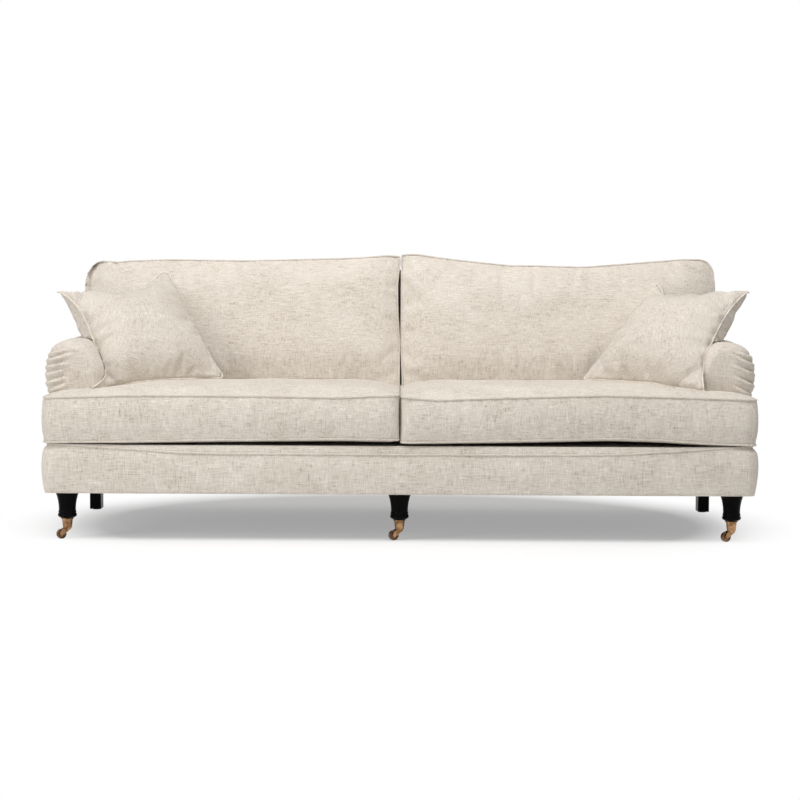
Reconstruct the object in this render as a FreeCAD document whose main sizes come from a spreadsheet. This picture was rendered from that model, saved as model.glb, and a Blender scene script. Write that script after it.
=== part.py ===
import FreeCAD, Part
import os
import re
import Sketcher

# An English roll arm sofa with two seats, in millimetres.
# +X runs to the right as seen from the front, the front faces -Y, +Z is up.
# The origin is on the floor, in the middle of the sofa. "Left" is the -X side.

Vector = FreeCAD.Vector

SIZES = {
    # Upholstered base
    "base_width": 2300,
    "base_front": 475,
    "base_rear": 430,
    "base_bottom": 154,
    "border_wall": 12,
    "border_corner": 18,
    "deck_pad_wall": 14.6,
    # Timber base
    "rail_wall": 28,
    "rail_height": 129.8,
    "dust_cloth": 1.2,
    "dust_margin": 8,
    "block_side": 150,
    "block_wall": 40,
    "stretcher_width": 110,
    # Back
    "back_height": 870,
    "back_top_pad": 15,
    "back_foot": 300,
    "back_lean": 11,
    "outside_lean": 5,
    "back_pad": 28,
    "back_edge": 10,
    "post_wall": 28,
    "post_depth": 60,
    "top_rail_height": 70,
    "lower_rail_height": 70,
    "lower_rail_rise": 30,
    "strap_count": 9,
    "strap_width": 50,
    "strap_wall": 1.5,
    "strap_overlap": 50,
    # Arms
    "arm_overhang": 33,
    "arm_width": 197,
    "arm_rise": 329,
    "arm_setback": 200,
    "arm_dome": 48,
    "arm_tuck_drop": 167,
    "arm_tuck_height": 35,
    "cover_wall": 3,
    "arm_stuffing": 48,
    "arm_top_stuffing": 56,
    "arm_front_stuffing": 22,
    "arm_board_wall": 22,
    "arm_front_board_wall": 28,
    # Springs
    "springs_each_side": 6,
    "spring_wire": 4,
    "spring_bends": 16,
    "spring_straight": 20,
    "spring_margin": 95,
    "clip_wall": 1.2,
    "clip_depth": 14,
    "clip_length": 12,
    "clip_play": 0.1,
    "insulator_wall": 6,
    "insulator_play": 0.2,
    "insulator_margin": 14,
    # Seat cushions
    "cushion_gap": 3,
    "cushion_overhang": 5,
    "cushion_border": 145,
    "cushion_belly": 10.7,
    "cushion_crown": 36,
    "cushion_end_crown": 10,
    "cushion_draw": 6,
    "cushion_corner": 28,
    "rest_gap": 0.3,
    "side_gap": 2,
    # Back cushions
    "back_cushion_foot_depth": 185,
    "back_cushion_top_depth": 65,
    "back_cushion_bed": 19.4,
    "back_cushion_sag": 20,
    "back_cushion_height": 410,
    "left_back_inner_rise": 25,
    "left_back_shoulder_rise": 20,
    "left_back_middle_rise": 6,
    "left_back_outer_rise": 2,
    "right_back_inner_rise": 35,
    "right_back_shoulder_rise": 18,
    "right_back_middle_rise": -11,
    "right_back_outer_rise": 18,
    "back_cushion_inset": 40,
    "back_cushion_crown": 26,
    "back_cushion_end_crown": 7,
    "back_cushion_draw": 5,
    "back_cushion_corner": 45,
    # Scatter cushions
    "scatter_side": 450,
    "scatter_thickness": 150,
    "scatter_edge": 12,
    "scatter_draw": 24,
    "scatter_inset": 68,
    "scatter_forward": 335,
    "scatter_rise": 190,
    "scatter_turn": 35,
    "scatter_lean": 42,
    "scatter_tilt": 5,
    # Turned front legs
    "front_leg_inset": 69,
    "front_leg_setback": 55,
    "leg_top_radius": 39,
    "leg_neck_radius": 27.5,
    "leg_neck_up": 97,
    "leg_taper_curve": 160,
    "leg_bead_rise": 10,
    "leg_bead_curve": 9,
    "leg_ring_radius": 29,
    "leg_ring_low": 73,
    "leg_ring_curve": 8.5,
    "leg_spigot_radius": 13,
    "leg_spigot_length": 23,
    # Square rear legs
    "rear_leg_inset": 49,
    "rear_leg_setback": 80,
    "rear_leg_width": 40,
    "rear_leg_depth": 60,
    "glide_radius": 14,
    "glide_wall": 4,
    "glide_edge": 1,
    # Leg bolts
    "bolt_radius": 4,
    "bolt_in_leg": 45,
    "bolt_in_frame": 32,
    # Casters
    "cup_top": 67,
    "cup_rim_radius": 19.8,
    "cup_rim_height": 3,
    "cup_rim_curve": 2.1,
    "cup_top_radius": 17.75,
    "cup_foot_radius": 14.5,
    "cup_foot_up": 35.5,
    "cup_floor": 5,
    "pintle_radius": 4,
    "pintle_play": 0.05,
    "pintle_head_radius": 6,
    "pintle_head_height": 2.8,
    "fork_lift_play": 0.2,
    "fork_hub_radius": 12,
    "fork_hub_height": 4.8,
    "fork_arm_wall": 3,
    "fork_side_play": 1,
    "fork_eye_radius": 6,
    "fork_eye_drop": 1.8,
    "fork_root_rear": 7.2,
    "fork_root_front": 9.6,
    "fork_back_curve": 20.8,
    "caster_trail": 20,
    "caster_turn": 200,
    "wheel_radius": 16,
    "wheel_width": 13,
    "wheel_hub_radius": 6,
    "wheel_rim_wall": 3.5,
    "wheel_recess": 2,
    "wheel_edge": 1.5,
    "axle_radius": 2.5,
    "axle_play": 0.05,
    "rivet_radius": 3.8,
    "rivet_height": 1.2,
}

# Values worked out from the sizes above, each written with sizes or with other worked-out values.
WORKED = {
    "base_half": "base_width / 2",
    "frame_half": "base_half - border_wall",
    "frame_front": "-(base_front - border_wall)",
    "frame_rear": "base_rear - border_wall",
    "rail_bottom": "base_bottom + dust_cloth",
    "rail_top": "rail_bottom + rail_height",
    "rail_inner": "frame_half - rail_wall",
    "front_rail_inner": "frame_front + rail_wall",
    "rear_rail_inner": "frame_rear - rail_wall",
    "block_top": "rail_bottom + block_wall",
    # Springs, and what lies on them up to the deck that the seat cushions rest on.
    "wire_up": "rail_top + clip_wall + spring_wire / 2",
    "wire_front": "frame_front + rail_wall / 2",
    "wire_rear": "frame_rear - rail_wall / 2",
    "insulator_low": "wire_up + spring_wire / 2 + insulator_play",
    "insulator_top": "insulator_low + insulator_wall",
    "deck_top": "insulator_top + deck_pad_wall",
    # The back's slanting faces: how far back each one is at the height of the rails' top.
    "pad_face_foot": "back_foot - (deck_top - rail_top) * tan(back_lean)",
    "post_face_foot": "pad_face_foot + back_pad",
    "post_top": "back_height - back_top_pad",
    "post_rise": "post_top - rail_top",
    "post_face_top": "post_face_foot + post_rise * tan(back_lean)",
    "post_back_top": "frame_rear + post_rise * tan(outside_lean)",
    "top_rail_low": "post_top - top_rail_height",
    "lower_rail_low": "deck_top + lower_rail_rise",
    "lower_rail_high": "lower_rail_low + lower_rail_height",
    # The arm's section.
    "arm_outer": "base_half + arm_overhang",
    "arm_inner": "arm_outer - arm_width",
    "arm_front": "base_front - arm_setback",
    "arm_top": "deck_top + arm_rise",
    "arm_tuck_top": "arm_top - arm_tuck_drop",
    "arm_tuck_bottom": "arm_tuck_top - arm_tuck_height",
    "roll_radius": "(arm_outer - arm_inner) / 2",
    "roll_middle": "(arm_outer + arm_inner) / 2",
    "roll_up": "arm_top - roll_radius",
    "arm_frame_inner": "arm_inner + cover_wall + arm_stuffing",
    "arm_board_top": "arm_top - cover_wall - arm_top_stuffing",
    "arm_board_low": "arm_board_top - arm_board_wall",
    "arm_board_front": "-(arm_front - cover_wall - arm_front_stuffing)",
    "arm_tuck_half": "base_half",
    # Seat cushions.
    "cushion_inner": "cushion_gap / 2",
    "cushion_front": "base_front + cushion_overhang",
    "cushion_side": "arm_inner - side_gap",
    "cushion_ear": "-(arm_front + side_gap)",
    "cushion_rear": "back_foot - side_gap",
    "cushion_low_welt": "deck_top + rest_gap + cushion_belly",
    "cushion_top_welt": "cushion_low_welt + cushion_border",
    # Back cushions.
    "back_cushion_foot_front": "back_foot - back_cushion_foot_depth",
    "back_cushion_top_front": "back_foot - back_cushion_top_depth",
    "back_cushion_half": "base_half - back_cushion_inset",
    "back_cushion_low": "cushion_top_welt + back_cushion_bed + rest_gap",
    "back_cushion_foot": "back_cushion_low - back_cushion_sag",
    "back_cushion_ear": "arm_top + rest_gap",
    "back_cushion_top": "back_cushion_low + back_cushion_height",
    "back_cushion_peak": "back_cushion_top + back_cushion_corner",
    "scatter_out": "arm_inner - scatter_inset",
    "scatter_back": "back_foot - scatter_forward",
    "scatter_up": "cushion_top_welt + scatter_rise",
    # Where the legs stand.
    "leg_spread": "base_half - front_leg_inset",
    "front_leg_front": "base_front - front_leg_setback",
    "rear_leg_spread": "base_half - rear_leg_inset",
    "rear_leg_back": "base_rear - rear_leg_setback",
    # Casters.
    "cup_spigot_foot": "cup_top - leg_spigot_length",
    "fork_top": "cup_foot_up - fork_lift_play",
    "fork_hub_low": "fork_top - fork_hub_height",
    "pintle_head_low": "cup_foot_up + cup_floor + fork_lift_play",
    "fork_inner": "wheel_width / 2 + fork_side_play",
    "fork_outer": "fork_inner + fork_arm_wall",
}

# Shares that shape the soft forms.
# How full a cushion is at eight places from its inner end to its outer one.
STATIONS = (0, 0.04, 0.12, 0.28, 0.5, 0.75, 0.93, 1)
FULLNESS = (0, 0.4, 0.78, 0.96, 1, 0.94, 0.66, 0)
# How high a seat cushion's top stands at three places from its front to its rear, as shares of its crown.
CROWN_PLACES = (0.12, 0.36, 0.66)
CROWN_HEIGHTS = (0.66, 1, 0.92)
# Where a back cushion's top line has its shoulder and its middle, as shares of the cushion's width.
SHOULDER_PLACE = 0.16
MIDDLE_PLACE = 0.56
# How far along its foot a back cushion sags between the seat cushions, and how deep it still is halfway there.
SAG_REACH = 0.2
SAG_HALFWAY = 0.3
# How full a scatter cushion is at seven places from edge to edge.
SCATTER_STATIONS = (-1, -0.72, -0.36, 0, 0.36, 0.72, 1)
SCATTER_FULLNESS = (0, 0.58, 0.88, 1, 0.88, 0.58, 0)
# How far an arm's front is drawn in at four places from its straight run to its tip.
DOME_STATIONS = (0, 0.45, 0.8, 1)
DOME_DRAWN_IN = (0, 0.09, 0.32, 0.75)
# The hollow under an arm's roll: which way it swells, and by what share of its own length.
TUCK_WAY = Vector(1, 0, -0.6)
TUCK_SWELL = 0.12
# How far the fullest line of a back cushion's face is lifted, as a share of its crown.
FACE_LIFT = 0.3
# How far along each axis a diagonal of length 1 reaches.
DIAGONAL = 0.5 ** 0.5
# Points and edges closer than this are the same.
TOUCH = 0.01

doc = FreeCAD.newDocument("RollArmSofa")
sheet = doc.addObject("Spreadsheet::Sheet", "Sizes")
for row, (size_name, size) in enumerate(SIZES.items(), 1):
    sheet.set(f"A{row}", f"'{size_name}")
    sheet.set(f"B{row}", str(size))
    sheet.setAlias(f"B{row}", size_name)
doc.recompute()

pieces = {}


def written_out(text):
    """The expression with every worked-out value written out and every size read from the sheet."""
    def swap(match):
        word = match.group(0)
        if word in WORKED:
            return "(" + written_out(WORKED[word]) + ")"
        return "Sizes." + word if word in SIZES else word
    return re.sub(r"[a-z_]+", swap, text)


def value(text):
    """The number that an expression of sizes gives now."""
    return float(sheet.evalExpression(written_out(text)))


def bind(thing, property_name, text):
    """Tie one property to an expression of sizes."""
    thing.setExpression(property_name, written_out(text))


def keep(name, thing):
    """Name a finished sub-part, which is then exported under that name."""
    thing.Label = name
    pieces[name] = thing
    return thing


def shaped(name, shape):
    """A sub-part whose shape is made with Part's functions from the sheet's sizes."""
    thing = doc.addObject("Part::Feature", name)
    thing.Shape = shape
    return keep(name, thing)


def sides():
    """The two sides, each with its sign along X."""
    return (("left", -1), ("right", 1))


def spread(sign, inner, outer):
    """Low and high X of something that lies from inner to outer on one side."""
    return (inner, outer) if sign > 0 else (f"-({outer})", f"-({inner})")


def block(name, x, y, z):
    """A rectangular piece; x, y and z each hold its low and high end."""
    piece = doc.addObject("Part::Box", name)
    for length, place, (low, high) in (("Length", "x", x), ("Width", "y", y), ("Height", "z", z)):
        bind(piece, length, f"({high}) - ({low})")
        bind(piece, "Placement.Base." + place, low)
    return piece


def rod(name, radius, foot, top, x, y):
    """An upright cylinder."""
    piece = doc.addObject("Part::Cylinder", name)
    bind(piece, "Radius", radius)
    bind(piece, "Height", f"({top}) - ({foot})")
    for place, text in (("x", x), ("y", y), ("z", foot)):
        bind(piece, "Placement.Base." + place, text)
    return piece


def without(name, body, tools):
    """A sub-part less the tools that cut it."""
    piece = doc.addObject("Part::Cut", name)
    piece.Base = body
    piece.Tool = tools[0] if len(tools) == 1 else together(name + "_tools", tools)
    return piece


def together(name, members):
    """Like pieces kept as one group of separate solids."""
    group = doc.addObject("Part::Compound", name)
    group.Links = members
    return group


def arc_middle(start, end, radius, bulge):
    """The middle point of an arc; bulge is 1 to the left of the way from start to end, -1 to the right."""
    chord = end - start
    sagitta = radius - (radius ** 2 - (chord.Length / 2) ** 2) ** 0.5
    left = Vector(-chord.y, chord.x, 0).normalize()
    return (start + end) / 2 + left * (sagitta * bulge)


def sketched(body, plane, corners):
    """A closed sketch on one of the body's own planes.

    A corner is (across, up). With (across, up, radius, bulge) the side that leaves it is an arc.
    """
    sketch = body.newObject("Sketcher::SketchObject", body.Name + "_outline")
    support = [face for face in body.Origin.OriginFeatures if face.Role == plane + "_Plane"][0]
    sketch.AttachmentSupport = [(support, "")]
    sketch.MapMode = "FlatFace"
    points = [Vector(value(corner[0]), value(corner[1]), 0) for corner in corners]
    ends = []
    for number, corner in enumerate(corners):
        start = points[number]
        end = points[(number + 1) % len(points)]
        if len(corner) == 2:
            sketch.addGeometry(Part.LineSegment(start, end), False)
            ends.append((1, 2))
        else:
            middle = arc_middle(start, end, value(corner[2]), corner[3])
            sketch.addGeometry(Part.Arc(start, middle, end), False)
            ends.append((1, 2) if corner[3] < 0 else (2, 1))
    for number, corner in enumerate(corners):
        after = (number + 1) % len(corners)
        joined = (number, ends[number][1], after, ends[after][0])
        sketch.addConstraint(Sketcher.Constraint("Coincident", *joined))
        for way, text in (("DistanceX", corner[0]), ("DistanceY", corner[1])):
            place = Sketcher.Constraint(way, -1, 1, number, ends[number][0], value(text))
            sketch.setExpression(f"Constraints[{sketch.addConstraint(place)}]", written_out(text))
        if len(corner) > 2:
            bend = Sketcher.Constraint("Radius", number, value(corner[2]))
            sketch.setExpression(f"Constraints[{sketch.addConstraint(bend)}]", written_out(corner[2]))
    return sketch


def padded(name, plane, corners, low, high):
    """A body padded from a sketched outline, from low to high along the plane's axis."""
    body = doc.addObject("PartDesign::Body", name)
    pad = body.newObject("PartDesign::Pad", name + "_pad")
    pad.Profile = sketched(body, plane, corners)
    bind(pad, "Length", f"({high}) - ({low})")
    place = {"YZ": ("x", low), "XY": ("z", low), "XZ": ("y", high)}[plane]
    bind(body, "Placement.Base." + place[0], place[1])
    return body


def turned(name, plane, corners, x, y, z, turn=None):
    """A body turned about the upright axis of its sketch, then set in place and swung about Z."""
    body = doc.addObject("PartDesign::Body", name)
    revolution = body.newObject("PartDesign::Revolution", name + "_turning")
    sketch = sketched(body, plane, corners)
    revolution.Profile = sketch
    revolution.ReferenceAxis = (sketch, ["V_Axis"])
    revolution.Angle = 360
    set_in_place(body, x, y, z, turn)
    return body


def set_in_place(body, x, y, z, turn):
    """Tie a body's place, and its swing about Z, to the sheet."""
    for place, text in (("x", x), ("y", y), ("z", z)):
        bind(body, "Placement.Base." + place, text)
    if turn:
        body.Placement.Rotation = FreeCAD.Rotation(Vector(0, 0, 1), value(turn))
        bind(body, "Placement.Rotation.Angle", turn)


def leaning(foot, angle, height):
    """How far back a slanting face of the back is at some height."""
    return f"{foot} + (({height}) - rail_top) * tan({angle})"


def timber_base():
    """Front, rear and side rails, and the centre stretcher and corner blocks before they are bored."""
    upright = ("rail_bottom", "rail_top")
    across = ("-frame_half", "frame_half")
    keep("front_rail", block("front_rail", across, ("frame_front", "front_rail_inner"), upright))
    keep("rear_rail", block("rear_rail", across, ("rear_rail_inner", "frame_rear"), upright))
    between = ("front_rail_inner", "rear_rail_inner")
    stretcher_half = ("-stretcher_width / 2", "stretcher_width / 2")
    stretcher = block("plain_stretcher", stretcher_half, between, ("rail_bottom", "block_top"))
    blocks = []
    for side, sign in sides():
        name = "side_rail_" + side
        keep(name, block(name, spread(sign, "rail_inner", "frame_half"), between, upright))
        for end, line, inward in (("front", "front_rail_inner", 1), ("rear", "rear_rail_inner", -1)):
            corner_x = f"{sign} * rail_inner"
            corners = [
                (corner_x, line),
                (f"{corner_x} - {sign} * block_side", line),
                (corner_x, f"{line} + {inward} * block_side"),
            ]
            blocks.append(padded(f"corner_block_{end}_{side}", "XY", corners, "rail_bottom", "block_top"))
    return stretcher, blocks


def bolt_places():
    """Each leg's name and the place of its bolt."""
    front = "-front_leg_front"
    rear = "rear_leg_back"
    return (
        ("front_leg_left", "-leg_spread", front),
        ("front_leg_centre", "0", front),
        ("front_leg_right", "leg_spread", front),
        ("rear_leg_left", "-rear_leg_spread", rear),
        ("rear_leg_centre", "0", rear),
        ("rear_leg_right", "rear_leg_spread", rear),
    )


def bolts_and_blocks(stretcher, blocks):
    """Hanger bolts between legs and frame, and the timber bored for them."""
    bolts = []
    bores = []
    for name, x, y in bolt_places():
        foot = "rail_bottom - bolt_in_leg"
        top = "rail_bottom + bolt_in_frame"
        bolts.append(rod("bolt_" + name, "bolt_radius", foot, top, x, y))
        bores.append(rod("bore_" + name, "bolt_radius", foot, top, x, y))
    keep("leg_bolts", together("leg_bolts", bolts))
    corner_bores = [bores[0], bores[2], bores[3], bores[5]]
    bored = without("corner_blocks", together("plain_corner_blocks", blocks), corner_bores)
    keep("corner_blocks", bored)
    keep("centre_stretcher", without("bored_stretcher", stretcher, [bores[1], bores[4]]))


def timber_back():
    """Raked posts, the centre post, the two rails between them and the webbing on their faces."""
    for side, sign in sides():
        corners = [
            ("rear_rail_inner - post_depth", "block_top"),
            ("rear_rail_inner", "block_top"),
            ("rear_rail_inner", "rail_top"),
            ("frame_rear", "rail_top"),
            ("post_back_top", "post_top"),
            ("post_face_top", "post_top"),
            ("post_face_foot", "rail_top"),
            ("rear_rail_inner - post_depth", "rail_top"),
        ]
        x = spread(sign, "rail_inner - post_wall", "rail_inner")
        keep("back_post_" + side, padded("back_post_" + side, "YZ", corners, *x))
    for name, low, high, half in (
        ("back_top_rail", "top_rail_low", "post_top", "rail_inner - post_wall"),
        ("back_lower_rail", "lower_rail_low", "lower_rail_high", "rail_inner - post_wall"),
        ("back_centre_post", "lower_rail_high", "top_rail_low", "post_wall / 2"),
    ):
        corners = [
            (leaning("post_face_foot", "back_lean", low), low),
            (leaning("frame_rear", "outside_lean", low), low),
            (leaning("frame_rear", "outside_lean", high), high),
            (leaning("post_face_foot", "back_lean", high), high),
        ]
        keep(name, padded(name, "YZ", corners, f"-({half})", half))
    straps = []
    number = int(value("strap_count"))
    low = "lower_rail_high - strap_overlap"
    high = "top_rail_low + strap_overlap"
    for strap in range(number):
        corners = [
            (leaning("post_face_foot", "back_lean", low) + " - strap_wall", low),
            (leaning("post_face_foot", "back_lean", low), low),
            (leaning("post_face_foot", "back_lean", high), high),
            (leaning("post_face_foot", "back_lean", high) + " - strap_wall", high),
        ]
        middle = f"({2 * strap + 1} / strap_count - 1) * arm_inner"
        ends = (f"{middle} - strap_width / 2", f"{middle} + strap_width / 2")
        straps.append(padded(f"back_strap_{strap + 1}", "YZ", corners, *ends))
    keep("back_webbing", together("back_webbing", straps))


def arm_boards():
    """The upright board at each arm's front and the long board under its roll."""
    for side, sign in sides():
        x = spread(sign, "arm_frame_inner", "frame_half")
        y = ("arm_board_front", "arm_board_front + arm_front_board_wall")
        name = "arm_front_board_" + side
        keep(name, block(name, x, y, ("rail_top", "arm_board_low")))
        corners = [
            ("arm_board_front", "arm_board_low"),
            (leaning("post_face_foot", "back_lean", "arm_board_low"), "arm_board_low"),
            (leaning("post_face_foot", "back_lean", "arm_board_top"), "arm_board_top"),
            ("arm_board_front", "arm_board_top"),
        ]
        name = "arm_top_board_" + side
        keep(name, padded(name, "YZ", corners, *x))


def spring_path():
    """Where one serpentine spring runs, from the front rail to the rear rail, about X = 0."""
    bends = int(value("spring_bends"))
    front = value("wire_front")
    pitch = (value("wire_rear") - front) / bends
    half = value("spring_straight") / 2
    up = value("wire_up")
    edges = []
    for number in range(bends + 1):
        way = 1 if number % 2 == 0 else -1
        y = front + number * pitch
        start = Vector(-way * half, y, up)
        end = Vector(way * half, y, up)
        edges.append(Part.makeLine(start, end))
        if number == bends:
            break
        quarter = Vector(pitch / 2 * DIAGONAL, 0, 0) * way
        side_point = end + Vector(way * pitch / 2, pitch / 2, 0)
        back_point = end + Vector(0, pitch, 0)
        rise = Vector(0, pitch / 2 * (1 - DIAGONAL), 0)
        edges.append(Part.Arc(end, end + quarter + rise, side_point).toShape())
        edges.append(Part.Arc(side_point, back_point + quarter - rise, back_point).toShape())
    return Part.Wire(edges)


def spring_lines():
    """The X of every spring: an equal number on each side of the middle."""
    number = int(value("springs_each_side"))
    reach = value("rail_inner") - value("spring_margin")
    step = reach / number
    right = [step * (place + 0.5) for place in range(number)]
    return [-x for x in reversed(right)] + right


def springs():
    """Serpentine springs, the clips that hold their ends, and the insulator that lies on them."""
    path = spring_path()
    start = path.Vertexes[0].Point
    ring = Part.makeCircle(value("spring_wire") / 2, start, Vector(1, 0, 0))
    spring = path.makePipeShell([Part.Wire(ring)], True, False)
    shaped("seat_springs", Part.makeCompound([spring.translated(Vector(x, 0, 0)) for x in spring_lines()]))
    depth = value("clip_depth")
    length = value("clip_length")
    wall = value("clip_wall")
    bore = value("spring_wire") / 2 + value("clip_play")
    height = value("wire_up") - value("rail_top") + bore + wall
    clip = Part.makeBox(length, depth, height, Vector(-length / 2, -depth / 2, value("rail_top")))
    hole = Part.makeCylinder(bore, length, Vector(-length / 2, 0, value("wire_up")), Vector(1, 0, 0))
    clip = clip.cut(hole)
    clips = []
    for x in spring_lines():
        for y in (value("wire_front"), value("wire_rear")):
            clips.append(clip.translated(Vector(x, y, 0)))
    shaped("spring_clips", Part.makeCompound(clips))
    keep("spring_insulator", block(
        "spring_insulator",
        ("-(arm_frame_inner - insulator_margin)", "arm_frame_inner - insulator_margin"),
        ("wire_front + insulator_margin", "wire_rear - post_depth - insulator_margin"),
        ("insulator_low", "insulator_top"),
    ))


def deck():
    """The pad that the seat cushions lie on, wider in front of the arms, and the cloth under the frame."""
    front = "frame_front"
    step = "arm_board_front"
    rear = "pad_face_foot"
    corners = [
        ("-frame_half", front),
        ("frame_half", front),
        ("frame_half", step),
        ("arm_frame_inner", step),
        ("arm_frame_inner", rear),
        ("-arm_frame_inner", rear),
        ("-arm_frame_inner", step),
        ("-frame_half", step),
    ]
    keep("deck_pad", padded("deck_pad", "XY", corners, "insulator_top", "deck_top"))
    cloth = block(
        "plain_dust_cover",
        ("-(frame_half - dust_margin)", "frame_half - dust_margin"),
        ("frame_front + dust_margin", "frame_rear - dust_margin"),
        ("base_bottom", "rail_bottom"),
    )
    openings = []
    for name, x, y in bolt_places():
        if name.startswith("front"):
            openings.append(rod("cloth_hole_" + name, "leg_top_radius", "base_bottom", "rail_bottom", x, y))
        else:
            openings.append(rear_leg_block("cloth_hole_" + name, x, y, "base_bottom"))
    keep("dust_cover", without("dust_cover", cloth, openings))


def rear_leg_block(name, x, y, foot):
    """The square outline of a rear leg, from some height to the frame."""
    across = (f"({x}) - rear_leg_width / 2", f"({x}) + rear_leg_width / 2")
    along = (f"({y}) - rear_leg_depth / 2", f"({y}) + rear_leg_depth / 2")
    return block(name, across, along, (foot, "rail_bottom"))


def front_border():
    """The upholstered border across the front, with short returns round both corners."""
    outer = block("border_outer", ("-base_half", "base_half"), ("-base_front", "arm_board_front"),
                  ("base_bottom", "deck_top"))
    inner = block("border_inner", ("-frame_half", "frame_half"), ("frame_front", "arm_board_front"),
                  ("base_bottom", "deck_top"))
    plain = without("plain_border", outer, [inner])
    doc.recompute()
    half = value("base_half")
    front = -value("base_front")
    edges = []
    for number, edge in enumerate(plain.Shape.Edges, 1):
        box = edge.BoundBox
        at_corner = box.YMax < front + TOUCH and abs(abs(box.Center.x) - half) < TOUCH
        if at_corner and box.ZLength > TOUCH:
            edges.append((number, value("border_corner"), value("border_corner")))
    border = doc.addObject("Part::Fillet", "front_border")
    border.Base = plain
    border.Edges = edges
    keep("front_border", border)


def outside_panels():
    """The panels over the outside of the arms and of the back."""
    rear_at_tuck = leaning("frame_rear", "outside_lean", "arm_tuck_bottom") + " + border_wall"
    corners = [
        ("arm_board_front", "base_bottom"),
        ("base_rear", "base_bottom"),
        ("base_rear", "rail_top"),
        (rear_at_tuck, "arm_tuck_bottom"),
        ("arm_board_front", "arm_tuck_bottom"),
    ]
    for side, sign in sides():
        name = "outside_arm_panel_" + side
        keep(name, padded(name, "YZ", corners, *spread(sign, "frame_half", "base_half")))
    corners = [
        ("frame_rear", "base_bottom"),
        ("base_rear", "base_bottom"),
        ("base_rear", "rail_top"),
        ("post_back_top + border_wall", "post_top"),
        ("post_back_top", "post_top"),
        ("frame_rear", "rail_top"),
    ]
    keep("outside_back_panel", padded("outside_back_panel", "YZ", corners, "-frame_half", "frame_half"))


def arm_section(inset, y, draw_in):
    """The closed outline of the right arm across X, inset all round and drawn in at its domed front."""
    shrink = inset + draw_in
    inner = value("arm_inner") + shrink
    outer = value("arm_outer") - shrink
    low = value("deck_top")
    roll = value("roll_radius") - shrink
    middle = value("roll_middle")
    up = value("roll_up")
    tuck_top = value("arm_tuck_top")
    tuck_low = value("arm_tuck_bottom")
    panel = value("arm_tuck_half") - inset - draw_in
    crest = Vector(middle, y, up + roll)
    diagonal = roll * DIAGONAL
    points = [
        Vector(inner, y, low),
        Vector(inner, y, up),
        crest,
        Vector(outer, y, up),
        Vector(outer, y, tuck_top),
        Vector(panel, y, tuck_low),
        Vector(panel, y, low),
    ]
    bend = (points[4] + points[5]) / 2 + TUCK_WAY * ((points[4] - points[5]).Length * TUCK_SWELL)
    edges = [
        Part.makeLine(points[0], points[1]),
        Part.Arc(points[1], Vector(middle - diagonal, y, up + diagonal), points[2]).toShape(),
        Part.Arc(points[2], Vector(middle + diagonal, y, up + diagonal), points[3]).toShape(),
        Part.makeLine(points[3], points[4]),
        Part.Arc(points[4], bend, points[5]).toShape(),
        Part.makeLine(points[5], points[6]),
        Part.makeLine(points[6], points[0]),
    ]
    return Part.Wire(edges)


def arm_form(inset):
    """The whole right arm as a solid: a straight run and a domed front, cut off at the back posts' face."""
    dome = value("arm_dome")
    front = -value("arm_front") + inset
    start = -value("arm_front") + dome
    rear = value("post_back_top")
    run = Part.Face(arm_section(inset, start, 0)).extrude(Vector(0, rear - start, 0))
    reach = start - front
    sections = []
    for far, inward in zip(DOME_STATIONS, DOME_DRAWN_IN):
        sections.append(arm_section(inset, start - reach * far, dome * inward))
    nose = Part.makeLoft(sections, True, False)
    return run.fuse(nose).removeSplitter().cut(back_zone("post_face_foot"))


def back_zone(foot):
    """Everything behind the slanting face that starts at a foot on the rails' top."""
    low = "base_bottom"
    high = "back_height + back_height"
    far = 2 * value("back_height")
    corners = [
        Vector(0, value(leaning(foot, "back_lean", low)), value(low)),
        Vector(0, far, value(low)),
        Vector(0, far, value(high)),
        Vector(0, value(leaning(foot, "back_lean", high)), value(high)),
    ]
    reach = 2 * value("arm_outer")
    face = Part.Face(Part.makePolygon(corners + corners[:1]))
    return face.translated(Vector(-reach, 0, 0)).extrude(Vector(2 * reach, 0, 0))


def arm_hollow():
    """The space inside the right arm for its boards, and beside it for the outside panel."""
    low = value("rail_top")
    front = value("arm_board_front")
    length = value("post_back_top") - front
    inner = value("arm_frame_inner")
    half = value("frame_half")
    reach = value("arm_outer")
    boards = Part.makeBox(half - inner, length, value("arm_board_top") - low, Vector(inner, front, low))
    panel = Part.makeBox(reach - half, length, value("arm_tuck_bottom") - low, Vector(half, front, low))
    return boards.fuse(panel)


def mirrored(shape):
    """The left-hand image of a right-hand shape."""
    return shape.mirror(Vector(0, 0, 0), Vector(1, 0, 0))


def both_sides(name, shape):
    """Keep a right-hand shape and its mirror image as the right and left sub-parts."""
    shaped(name + "_right", shape)
    shaped(name + "_left", mirrored(shape))


def arms():
    """Arm stuffing round the boards, and the cover over the stuffing."""
    whole = arm_form(0)
    stuffing = arm_form(value("cover_wall"))
    hollow = arm_hollow()
    both_sides("arm_stuffing", stuffing.cut(hollow))
    both_sides("arm_cover", whole.cut(stuffing).cut(hollow))
    return whole


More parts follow.
